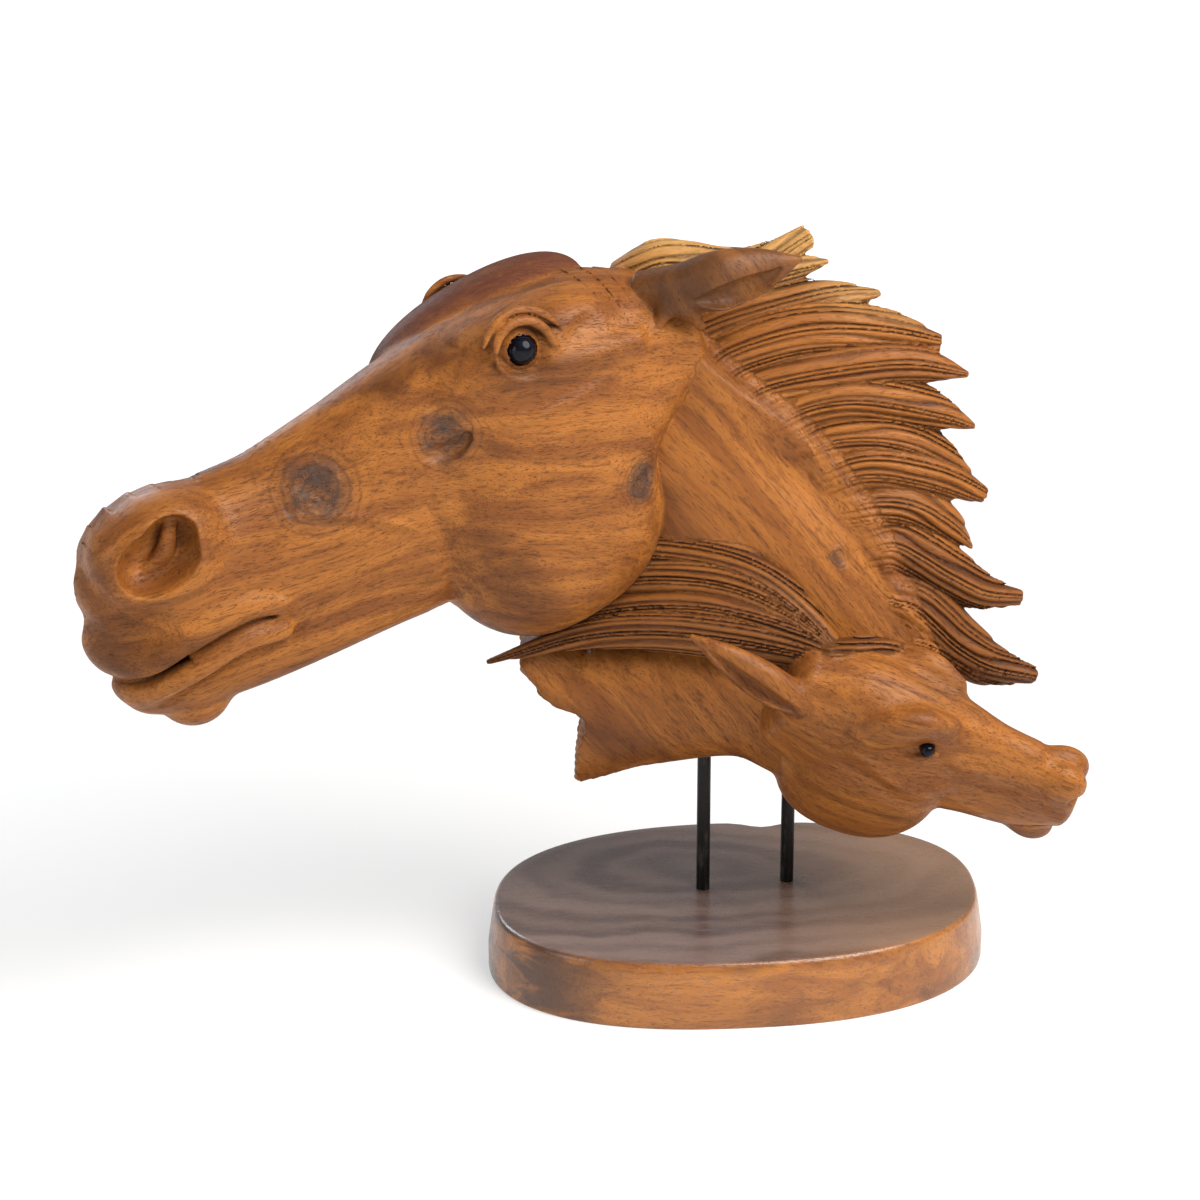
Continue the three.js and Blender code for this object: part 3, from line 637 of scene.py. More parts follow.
def ears(c):
    """The mare's near ear and the foal's, each with its hollow."""
    c.add(Sweep([(-60, -34, 419), (-38, -44, 424), (-17, -50, 430), (6, -47, 436), (27, -44, 441)],
                [14, 15, 17, 12, 1.8], [12, 13, 17, 13, 1.8], [11, 13, 13, 8, 1.8], caps=(6, 2)), 4)
    c.cut(Sweep([(-35, -68, 419), (-20, -69, 420.5), (-5, -66, 422.5), (8, -60, 428), (18, -54, 436)],
                [2, 7, 10, 8, 2], [2, 8, 11, 9, 2], [9, 17, 19, 15, 6], caps=(3, 2)), 1.5)
    # the fold of skin at the ear's root
    root = [(-54, -46, 402), (-46, -50, 413), (-36, -50, 412), (-28, -44, 403)]
    c.add(tube(root, [3, 4, 4, 2], [3, 4, 4, 3], (0, -1, 0), caps=(3, 3)), 6)
    c.add(Sweep([(49, -72, 186), (30, -78, 191), (8, -82, 205), (-14, -82, 219), (-32, -80, 230)],
                [9, 10, 11, 8, 1.5], [9, 10, 12, 8, 1.5], [7, 8, 8, 6, 1.5], caps=(5, 2)), 3)
    c.cut(Sweep([(28, -91, 187), (8, -94, 199), (-10, -93, 212), (-23, -88, 222)], [3, 5, 4, 1.5],
                [3, 6, 5, 1.5], [7, 11, 9, 4], caps=(4, 3)), 1.2)


def foal_half():
    """One half of the foal's head, used on both sides."""
    c = Clay()
    skull(c, [0, 22, 50, 80, 110, 140, 170], [12, 16, 19, 26, 31, 31, 22],
          [-40, -54, -58, -62, -62, -62, -50], [15, 17, 19, 25, 30, 32, 28], 2.3, (9, 14))
    c.add(Blob((7, 4, 7), (13.5, 12, 9)), 7)
    c.cut(Blob((-7, -3, 13), (7, 5.5, 7)), 2)
    c.add(Blob((6, -49, 0), (15, 11, 12)), 7)
    mouth = [(-16, -27, 0), (-9, -30, 11), (6, -38, 16), (22, -46, 18), (33, -49, 19)]
    c.cut(tube(mouth, [1, 1, 1.3, 1.5, 1], 5, V_UP, caps=(2, 2)), 1.2)
    c.add(Blob((114, -49, 8), (50, 52, 29), 2.3), 4)
    foal_eye(c)
    c.add(Blob((80, -19, 18), (15, 6, 10)), 3)
    return c


def foal_eye(c):
    """Brow, eye slit, lower lid and the pocket for the bead."""
    brow = [(130, 8, 27), (118, 20, 26), (104, 26, 22), (88, 24, 17)]
    c.add(Sweep(brow, [5, 7, 7, 4], [7, 9, 9, 6], [8, 10, 10, 8], OUTWARD, caps=(6, 6)), 10)
    slit = [(114, 2, 33), (104, 7, 32), (96, 12, 30), (88, 16, 28)]
    c.cut(tube(slit, [1.2, 3, 3.4, 1.4], [5, 7, 7, 5], OUTWARD, caps=(2, 2)), 1.5)
    lid = [(112, -3, 29), (100, 2, 28), (88, 9, 25)]
    c.add(tube(lid, [1.6, 2.6, 1.4], [2, 3, 2], OUTWARD, caps=(2, 2)), 2)
    c.cut(Blob((94, 12, 26), [FOAL_EYE_POCKET] * 3), 0)


FOAL_CREASES = [
    Crease([(144, -3), (116, -12), (92, -22), (64, -28)], 1.8, 4.0),
    Crease([(140, -16), (112, -24), (88, -34), (62, -36)], -1.5, 3.2),
    Crease([(132, 2), (140, -8), (150, -10)], -1.2, 2.0),
    Crease([(126, 10), (138, 4), (152, 4)], -1.0, 1.8),
    Crease([(84, 8), (68, 2), (50, 2), (34, 4)], 1.6, 4.0),
    Crease([(80, 0), (64, -8), (44, -10), (26, -6)], -1.4, 4.0),
    Crease([(66, -28), (48, -36), (34, -42)], 1.0, 3.0),
    Crease([(20, 2), (12, -10), (2, -16), (-6, -16)], -1.0, 2.6, 4),
]
KNOT_RELIEFS = [KnotRipples((-240, -124, 327), 16, 1.6), KnotRipples((-170, -105, 356), 11, 1.0),
                KnotRipples((-56, -61, 315), 13, 3.0), KnotRipples((56, -28, 264), 6, 1.2)]


ROD_HOLES = ((-21, 9), (32, 22))
ROD_HOLE_RADIUS = 4.5
ROD_HOLE_TOP = 172.3


class Carving:
    """The whole block as one distance, with the parts its colours need."""

    def __init__(self):
        self.mare, self.mare_odd, self.mare_eyes = mare_half(), mare_whole(), mare_eyes()
        self.foal = foal_half()
        self.body, self.locks = body()
        self.holes = Clay()
        for x, y in ROD_HOLES:
            hole = [(x, y, 60), (x, y, ROD_HOLE_TOP)]
            self.holes.cut(tube(hole, ROD_HOLE_RADIUS, ROD_HOLE_RADIUS, (1, 0, 0), 2.0, (1, 0.5), 8), 0)

    def parts(self, points):
        """Distances to the mare's head, the foal's head and all the rest."""
        q = MARE.inward(points)
        folded = mare_fold(q)
        mare = self.mare.distance(folded) - sum(crease.lift(folded) for crease in MARE_CREASES)
        mare = self.mare_eyes.distance(folded, self.mare_odd.distance(q, mare))
        f = FOAL.inward(points)
        f[:, 2] = np.abs(f[:, 2])
        foal = self.foal.distance(f) - sum(crease.lift(f) for crease in FOAL_CREASES)
        return mare, foal, self.body.distance(points)

    def distance(self, points):
        mare, foal, rest = self.parts(points)
        d = fused(fused(rest, mare, 2.5), foal, 3.5)
        d = d - sum(knot.lift(points) for knot in KNOT_RELIEFS)
        return self.holes.distance(points, d)


def thinned(name, vertices, quads, faces):
    """An object made of the quads, cut down to the number of triangles."""
    mesh = bpy.data.meshes.new(name)
    mesh.from_pydata((vertices * MM).tolist(), [], quads.tolist())
    obj = bpy.data.objects.new(name, mesh)
    bpy.context.scene.collection.objects.link(obj)
    if 2 * len(quads) > faces:
        modifier = obj.modifiers.new("Thin", "DECIMATE")
        modifier.ratio = faces / (2 * len(quads))
        modifier.use_collapse_triangulate = True
        evaluated = obj.evaluated_get(bpy.context.evaluated_depsgraph_get())
        obj.data = bpy.data.meshes.new_from_object(evaluated)
        obj.modifiers.remove(modifier)
        bpy.data.meshes.remove(mesh)
        obj.data.name = name
    return obj


def largest_body(vertices, quads):
    """Keeps only the biggest connected shell."""
    label = np.arange(len(vertices))
    pairs = np.concatenate([quads[:, [0, 1]], quads[:, [1, 2]], quads[:, [2, 3]]])
    for _ in range(400):
        low = np.minimum(label[pairs[:, 0]], label[pairs[:, 1]])
        before = label.copy()
        np.minimum.at(label, pairs[:, 0], low)
        np.minimum.at(label, pairs[:, 1], low)
        label = label[label]
        if (label == before).all():
            break
    names, counts = np.unique(label, return_counts=True)
    keep = label == names[counts.argmax()]
    renumber = np.cumsum(keep) - 1
    return vertices[keep], renumber[quads[keep[quads[:, 0]]]]


def write_attribute(mesh, name, values, kind="FLOAT"):
    """Stores one value or vector at each point of the mesh."""
    attribute = mesh.attributes.new(name, kind, "POINT")
    attribute.data.foreach_set("vector" if kind == "FLOAT_VECTOR" else "value",
                               np.ascontiguousarray(values, np.float32).ravel())


STRAND_WIDTH = 6.0  # how far the grain moves on from one strand of hair to the next
NECK_MIDDLE = (20, 0, 250)
NECK_GRAIN = np.array([[0.66, 0, -0.75], [0.75, 0, 0.66], [0, -1, 0]])


def grain_directions(carving, points):
    """For each point: place along and across the grain (mm), how much it is hair, and its strand."""
    mare, foal, rest = carving.parts(points)
    neck = (points - NECK_MIDDLE) @ NECK_GRAIN.T
    which = np.argmin(np.stack([mare, rest, foal]), axis=0)
    # the mare's grain runs flatter than her head, more so towards the poll
    u, up, side = MARE.inward(points).T
    turn = -0.25 - 0.25 * eased(u, 120, 260)
    ahead, cosine, sine = u - 190, np.cos(turn), np.sin(turn)
    old = np.stack([ahead * cosine + up * sine, up * cosine - ahead * sine, side], 1)
    grain = np.choose(which[:, None], [old, neck + [0, 300, 0], FOAL.inward(points) + [0, 600, 0]])
    hair = np.zeros(len(points))
    for i, one in enumerate(carving.locks):
        near = np.flatnonzero(np.all((points > one.low) & (points < one.high), axis=1))
        near = near[one.distance(points[near]) < rest[near] + 0.6]
        near = near[(which[near] == 1) & (rest[near] < np.minimum(mare[near], foal[near]) - 0.5)]
        t, _, side, _, _, _, reach = one.place(points[near])
        strand = one.strand(t, side, reach)
        grain[near] = np.stack([t * one.length, strand * STRAND_WIDTH, np.full(len(near), 900 + 40.0 * i)], 1)
        hair[near] = 1
    return grain, hair, which


def hollowness(carving, points, normals):
    """0 in the open, 1 deep in a groove or where two surfaces meet."""
    out = np.zeros(len(points))
    for reach, share in ((1.6, 0.45), (5.0, 0.35), (12.0, 0.2)):
        out += share * np.clip(1 - carving.distance(points + normals * reach) / reach, 0, 1)
    return out


class CARVING_OT_block(bpy.types.Operator):
    """Sculpts the mare, the foal, the mane and the neck as one block of wood"""

    bl_idname = "carving.block"
    bl_label = "Carve the Block"

    def execute(self, context):
        settings = context.scene.carving_block
        cut = settings.cut_size / MM
        carving = Carving()
        low, high = (np.array(v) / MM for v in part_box("carving"))
        room = 6
        vertices, quads = carved_surface(carving.distance, low - room, high + room, cut)
        vertices, quads = largest_body(vertices, quads)
        block = thinned("carving_wood", vertices, quads, settings.faces)
        mesh = block.data
        points = np.empty(len(mesh.vertices) * 3, np.float32)
        mesh.vertices.foreach_get("co", points)
        points = points.reshape(-1, 3).astype(float) / MM
        # thinning moves points off the surface; two short steps bring them back
        for _ in range(2):
            normals = slope_of(carving.distance, points)
            step = np.clip(carving.distance(points), -0.5, 0.5)
            points -= normals * step[:, None] * 0.9
        normals = slope_of(carving.distance, points)
        points = np.clip(points, low, high)
        mesh.vertices.foreach_set("co", (points * MM).astype(np.float32).ravel())
        grain, hair, which = grain_directions(carving, points)
        write_attribute(mesh, "grain", grain, "FLOAT_VECTOR")
        write_attribute(mesh, "hair", hair)
        write_attribute(mesh, "hollow", hollowness(carving, points, normals))
        q = MARE.inward(points)
        dome = carving.mare_odd.steps[0][0].distance(q)
        write_attribute(mesh, "russet", np.clip(1 - dome / 3, 0, 1) * (which == 0))
        mesh.update()
        mesh.shade_smooth()
        mesh.normals_split_custom_set_from_vertices(normals.tolist())
        mesh.materials.clear()
        mesh.materials.append(carved_wood_material(settings))
        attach(block, "root")
        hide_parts("carving")
        return {"FINISHED"}


# ---------------------------------------------------------------- slab, rods and eyes


SLAB_SQUARENESS = 2.35  # 2 would make the rim an ellipse
SLAB_LEAN = 0.1  # how far the right end is pushed back, as a share of x
SLAB_SET_BACK = 10  # how far the slab's middle lies behind the origin
SLAB_DIP_X, SLAB_DIP_DEPTH, SLAB_DIP_WIDTH = 22, 9, 14  # shallow dip in the back edge


def slab_rim(settings, spread, count):
    """The slab's rim, spread out all round by the given amount."""
    turn = 2 * np.pi * np.arange(count) / count
    bent = lambda v: np.sign(v) * np.abs(v) ** (2 / SLAB_SQUARENESS)
    x = bent(np.cos(turn)) * (settings.length / MM / 2 + spread)
    y = bent(np.sin(turn)) * (settings.depth / MM / 2 + spread)
    dip = SLAB_DIP_DEPTH * np.exp(-(((x - SLAB_DIP_X) / SLAB_DIP_WIDTH) ** 2)) * (y > 0)
    return np.stack([x, y + SLAB_LEAN * x + SLAB_SET_BACK - dip], 1)


def lofted_mesh(name, rings):
    """Rings of points joined into a closed skin."""
    rings = [np.asarray(r, float) for r in rings]
    n = len(rings[0])
    points = np.concatenate(rings)
    faces = []
    for r in range(len(rings) - 1):
        a, b = r * n, (r + 1) * n
        faces += [(a + k, a + (k + 1) % n, b + (k + 1) % n, b + k) for k in range(n)]
    faces += [tuple(range(n - 1, -1, -1)), tuple(range(len(points) - n, len(points)))]
    mesh = bpy.data.meshes.new(name)
    mesh.from_pydata((points * MM).tolist(), [], faces)
    mesh.validate()
    obj = bpy.data.objects.new(name, mesh)
    bpy.context.scene.collection.objects.link(obj)
    return obj


class CARVING_OT_slab(bpy.types.Operator):
    """Makes the rounded wooden slab"""

    bl_idname = "carving.slab"
    bl_label = "Make the Slab"

    def execute(self, context):
        s = context.scene.carving_slab
        top, flare = s.thickness / MM, s.flare / MM
        # heights and how far the rim stands out there, with both edges rounded
        levels = [(0, flare - 2), (0, flare - 0.8), (0.6, flare - 0.2), (2, flare), (14, flare)]
        levels += [(top - 8, 1.4), (top - 3.4, 0.5), (top - 1.6, -0.2), (top - 0.5, -1.2)]
        levels += [(top, -2.6), (top, -9)]
        around = 180
        rings = [np.column_stack([slab_rim(s, spread, around), np.full(around, z)]) for z, spread in levels]
        low, high = (np.array(v)[:2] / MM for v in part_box("base_slab"))
        widest = np.concatenate(rings)[:, :2]
        shrink = (high - low) / (widest.max(0) - widest.min(0))
        for ring in rings:
            ring[:, :2] = low + (ring[:, :2] - widest.min(0)) * shrink
        slab = lofted_mesh("slab_wood", rings)
        slab.data.shade_smooth()
        slab.data.materials.append(slab_wood_material())
        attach(slab, "root")
        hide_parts("base_slab")
        return {"FINISHED"}


def rod_tree(material):
    """Node tree of a rod: a circle swept along a straight line, closed, smooth and with its material."""
    tree = bpy.data.node_groups.new("Rod", "GeometryNodeTree")
    tree.is_modifier = True
    face = tree.interface
    face.new_socket("Geometry", in_out="INPUT", socket_type="NodeSocketGeometry")
    kinds = {"Foot": "Vector", "Head": "Vector", "Radius": "Float", "Around": "Int"}
    sockets = {name: face.new_socket(name, in_out="INPUT", socket_type="NodeSocket" + kind)
               for name, kind in kinds.items()}
    face.new_socket("Geometry", in_out="OUTPUT", socket_type="NodeSocketGeometry")
    given, out = tree.nodes.new("NodeGroupInput"), tree.nodes.new("NodeGroupOutput")
    line, ring, resample, sweep, smooth, whole, coat = (
        tree.nodes.new("GeometryNode" + kind) for kind in (
            "CurvePrimitiveLine", "CurvePrimitiveCircle", "ResampleCurve", "CurveToMesh", "SetShadeSmooth",
            "RealizeInstances", "SetMaterial"))
    resample.inputs["Count"].default_value = 24
    coat.inputs["Material"].default_value = material
    sweep.inputs["Fill Caps"].default_value = True
    for source, end in (
            (given.outputs["Foot"], line.inputs["Start"]), (given.outputs["Head"], line.inputs["End"]),
            (given.outputs["Radius"], ring.inputs["Radius"]),
            (given.outputs["Around"], ring.inputs["Resolution"]),
            (line.outputs["Curve"], resample.inputs["Curve"]),
            (resample.outputs["Curve"], sweep.inputs["Curve"]),
            (ring.outputs["Curve"], sweep.inputs["Profile Curve"]),
            (sweep.outputs["Mesh"], smooth.inputs["Geometry"]),
            (smooth.outputs["Geometry"], whole.inputs["Geometry"]),
            (whole.outputs["Geometry"], coat.inputs["Geometry"]),
            (coat.outputs["Geometry"], out.inputs["Geometry"])):
        tree.links.new(source, end)
    return tree, {name: socket.identifier for name, socket in sockets.items()}


class CARVING_OT_rods(bpy.types.Operator):
    """Makes the two black rods"""

    bl_idname = "carving.rods"
    bl_label = "Make the Rods"

    def execute(self, context):
        s = context.scene.carving_rods
        tree, inputs = rod_tree(rod_material())
        for node in ("left_rod", "right_rod"):
            low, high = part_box(node)
            x, y = (low.x + high.x) / 2, (low.y + high.y) / 2
            mesh = bpy.data.meshes.new(node + "_steel")
            rod = bpy.data.objects.new(node + "_steel", mesh)
            context.scene.collection.objects.link(rod)
            modifier = rod.modifiers.new("Rod", "NODES")
            modifier.node_group = tree
            modifier[inputs["Foot"]] = (x, y, low.z)
            modifier[inputs["Head"]] = (x, y, high.z)
            modifier[inputs["Radius"]] = s.diameter / 2
            modifier[inputs["Around"]] = s.around
            context.view_layer.update()
            evaluated = rod.evaluated_get(context.evaluated_depsgraph_get())
            rod.data = bpy.data.meshes.new_from_object(evaluated)
            rod.modifiers.clear()
            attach(rod, "root")
            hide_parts(node)
        return {"FINISHED"}


EYE_BEADS = {"mare_near_eye": (MARE, 1), "mare_far_eye": (MARE, -1), "foal_near_eye": (FOAL, 1),
             "foal_far_eye": (FOAL, -1)}


class CARVING_OT_eyes(bpy.types.Operator):
    """Makes the four inlaid black eye beads"""

    bl_idname = "carving.eyes"
    bl_label = "Make the Eyes"

    def execute(self, context):
        material = bead_material()
        for node, (head, side) in EYE_BEADS.items():
            low, high = (np.array(v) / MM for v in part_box(node))
            centre, radius = (low + high) / 2, (high - low).min() / 2
            face = head.axes[2] * side
            across = head.axes[0]
            upward = np.cross(face, across)
            rings = []
            for angle in np.radians(np.linspace(-88, 88, 33)):
                turn = 2 * np.pi * np.arange(48) / 48
                r = radius * math.cos(angle)
                rings.append(centre + face * radius * math.sin(angle)
                             + r * (np.cos(turn)[:, None] * across + np.sin(turn)[:, None] * upward))
            bead = lofted_mesh(node + "_bead", rings)
            bead.data.shade_smooth()
            bead.data.materials.append(material)
            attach(bead, "root")
            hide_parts(node)
        return {"FINISHED"}


# ---------------------------------------------------------------- materials


class Nodes:
    """Short calls for building a shader tree."""

    def __init__(self, tree):
        self.tree = tree

    def new(self, kind, **values):
        node = self.tree.nodes.new(kind)
        for key, value in values.items():
            setattr(node, key, value)
        return node

    def put(self, value, socket):
        if isinstance(value, bpy.types.NodeSocket):
            self.tree.links.new(value, socket)
        elif value is not None:
            socket.default_value = value

    def math(self, operation, a, b=None, clamp=False):
        node = self.new("ShaderNodeMath", operation=operation, use_clamp=clamp)
        self.put(a, node.inputs[0])
        self.put(b, node.inputs[1])
        return node.outputs[0]

    def ramp(self, value, low, high, to_low=0.0, to_high=1.0):
        node = self.new("ShaderNodeMapRange", interpolation_type="SMOOTHSTEP")
        for socket, v in zip(node.inputs, (value, low, high, to_low, to_high)):
            self.put(v, socket)
        return node.outputs[0]

    def mix(self, factor, a, b):
        node = self.new("ShaderNodeMix", data_type="RGBA")
        self.put(factor, node.inputs[0])
        self.put(a, node.inputs[6])
        self.put(b, node.inputs[7])
        return node.outputs[2]

    def noise(self, vector, scale, detail=3.0, rough=0.55, warp=0.0, colour=False):
        node = self.new("ShaderNodeTexNoise")
        self.put(vector, node.inputs["Vector"])
        for name, v in (("Scale", scale), ("Detail", detail), ("Roughness", rough), ("Distortion", warp)):
            self.put(v, node.inputs[name])
        return node.outputs["Color" if colour else "Fac"]

    def vector_math(self, operation, a, b, output=0):
        node = self.new("ShaderNodeVectorMath", operation=operation)
        self.put(a, node.inputs[0])
        self.put(b, node.inputs[1])
        return node.outputs[output]

    def stretch(self, vector, scale):
        return self.vector_math("MULTIPLY", vector, scale)

    def add(self, a, b):
        return self.vector_math("ADD", a, b)

    def distance(self, a, b):
        return self.vector_math("DISTANCE", a, b, "Value")

    def times(self, a, b):
        return self.math("MULTIPLY", a, b)

    def axes(self, vector):
        """The X, Y and Z outputs of a vector."""
        node = self.new("ShaderNodeSeparateXYZ")
        self.put(vector, node.inputs[0])
        return node.outputs

    def attribute(self, name, vector=False):
        node = self.new("ShaderNodeAttribute", attribute_name=name)
        return node.outputs["Vector" if vector else "Fac"]

    def place(self):
        return self.new("ShaderNodeTexCoord").outputs["Object"]


def shader_group(name, inputs, outputs):
    """An empty shader group with typed sockets; returns it with its builder and its input sockets."""
    group = bpy.data.node_groups.new(name, "ShaderNodeTree")
    kinds = {"f": "NodeSocketFloat", "v": "NodeSocketVector", "c": "NodeSocketColor"}
    for label, (kind, default) in inputs.items():
        socket = group.interface.new_socket(label, in_out="INPUT", socket_type=kinds[kind])
        if default is not None:
            socket.default_value = default
    for label, kind in outputs.items():
        group.interface.new_socket(label, in_out="OUTPUT", socket_type=kinds[kind])
    n = Nodes(group)
    return group, n, n.new("NodeGroupInput").outputs, n.new("NodeGroupOutput").inputs


def use_group(n, group, **values):
    """Places a group and sets or links its inputs; returns its outputs."""
    node = n.new("ShaderNodeGroup")
    node.node_tree = group
    for label, value in values.items():
        n.put(value, node.inputs[label.replace("_", " ")])
    return node.outputs


def colour4(rgb):
    """The colour with full opacity."""
    return (*rgb, 1.0)


def wood_grain_group():
    """Bands, streaks and pores of planed hardwood; x of the vector runs along the grain in millimetres."""
    group, n, given, out = shader_group(
        "Wood Grain",
        {"Grain": ("v", None), "Light": ("c", (0.5, 0.25, 0.1, 1)), "Middle": ("c", (0.3, 0.12, 0.04, 1)),
         "Dark": ("c", (0.1, 0.03, 0.01, 1)), "Streaks": ("f", 0.6)},
        {"Color": "c", "Height": "f", "Gloss": "f"})
    drift = n.noise(n.stretch(given["Grain"], (0.006, 0.02, 0.02)), 1.0, 2.0, 0.5, colour=True)
    bent = n.add(given["Grain"], n.stretch(drift, (0.0, 26.0, 26.0)))
    bands = n.noise(n.stretch(bent, (0.0045, 0.075, 0.075)), 1.0, 4.0, 0.6, 0.6)
    fine = n.noise(n.stretch(bent, (0.045, 0.5, 0.5)), 1.0, 4.0, 0.62)
    pores = n.noise(n.stretch(bent, (0.2, 1.7, 1.7)), 1.0, 2.0, 0.6)
    tone = n.mix(n.ramp(bands, 0.34, 0.68, 0.05, 0.95), given["Middle"], given["Light"])
    broad = n.noise(n.stretch(bent, (0.008, 0.022, 0.022)), 1.0, 3.0, 0.6, 0.4)
    tone = n.mix(n.ramp(broad, 0.48, 0.72, 0.0, 0.6), tone, given["Dark"])
    dark_lines = n.times(n.ramp(fine, 0.5, 0.7), given["Streaks"])
    tone = n.mix(dark_lines, tone, given["Dark"])
    tone = n.mix(n.ramp(pores, 0.54, 0.7, 0.0, 0.55), tone, given["Dark"])
    n.put(tone, out["Color"])
    n.put(n.math("SUBTRACT", n.times(fine, -0.5), n.ramp(pores, 0.55, 0.72)), out["Height"])
    n.put(n.ramp(fine, 0.3, 0.8), out["Gloss"])
    return group


def knot_group():
    """A round dead knot: rings round a dark cracked heart, from Object coordinates in metres."""
    group, n, given, out = shader_group(
        "Knot", {"Place": ("v", None), "Centre": ("v", (0, 0, 0)), "Radius": ("f", 0.015)},
        {"Heart": "f", "Rings": "f", "Cracks": "f"})
    wobble = n.noise(given["Place"], 55.0, 3.0, 0.6, colour=True)
    shift = n.stretch(n.add(wobble, (-0.5, -0.5, -0.5)), (0.012, 0.012, 0.012))
    far = n.math("DIVIDE", n.distance(n.add(given["Place"], shift), given["Centre"]), given["Radius"])
    rings = n.math("SINE", n.times(far, 23.0))
    blotch = n.ramp(n.noise(given["Place"], 90.0, 4.0, 0.65), 0.3, 0.6, 0.35, 1.0)
    n.put(n.times(n.ramp(far, 0.35, 1.25, 1.0, 0.0), blotch), out["Heart"])
    n.put(n.times(n.ramp(rings, 0.1, 0.95), n.ramp(far, 0.7, 2.0, 1.0, 0.0)), out["Rings"])
    split = n.noise(n.stretch(given["Place"], (110.0, 110.0, 190.0)), 1.0, 3.0, 0.6, 1.5)
    thin = n.math("ABSOLUTE", n.math("SUBTRACT", split, 0.5))
    n.put(n.times(n.ramp(thin, 0.0, 0.018, 1.0, 0.0), n.ramp(far, 0.4, 1.0, 1.0, 0.0)), out["Cracks"])
    return group


def group_once(name, build):
    return bpy.data.node_groups.get(name) or build()


def new_material(name):
    material = bpy.data.materials.new(name)
    material.use_nodes = True
    shader = material.node_tree.nodes["Principled BSDF"]
    return material, Nodes(material.node_tree), shader


def bump(n, height, distance, strength):
    node = n.new("ShaderNodeBump")
    node.inputs["Strength"].default_value = strength
    node.inputs["Distance"].default_value = distance
    n.put(height, node.inputs["Height"])
    return node.outputs["Normal"]


# middle and radius of each knot, metres
KNOTS = [((-0.240, -0.124, 0.327), 0.022), ((-0.170, -0.105, 0.352), 0.017), ((-0.059, -0.060, 0.317), 0.015),
         ((0.056, -0.030, 0.264), 0.006)]
# brown of the painted shade in the hair's valleys and in the hollows, where it partly stands for staining
SHADE_AND_STAIN_BROWN = (0.040, 0.0125, 0.0045)
KNOT_GREY = (0.040, 0.032, 0.030)
CRACK_BLACK = (0.010, 0.005, 0.003)
# brown of the painted shade on the mare's ear
EAR_SHADE_BROWN = (0.07, 0.032, 0.014)


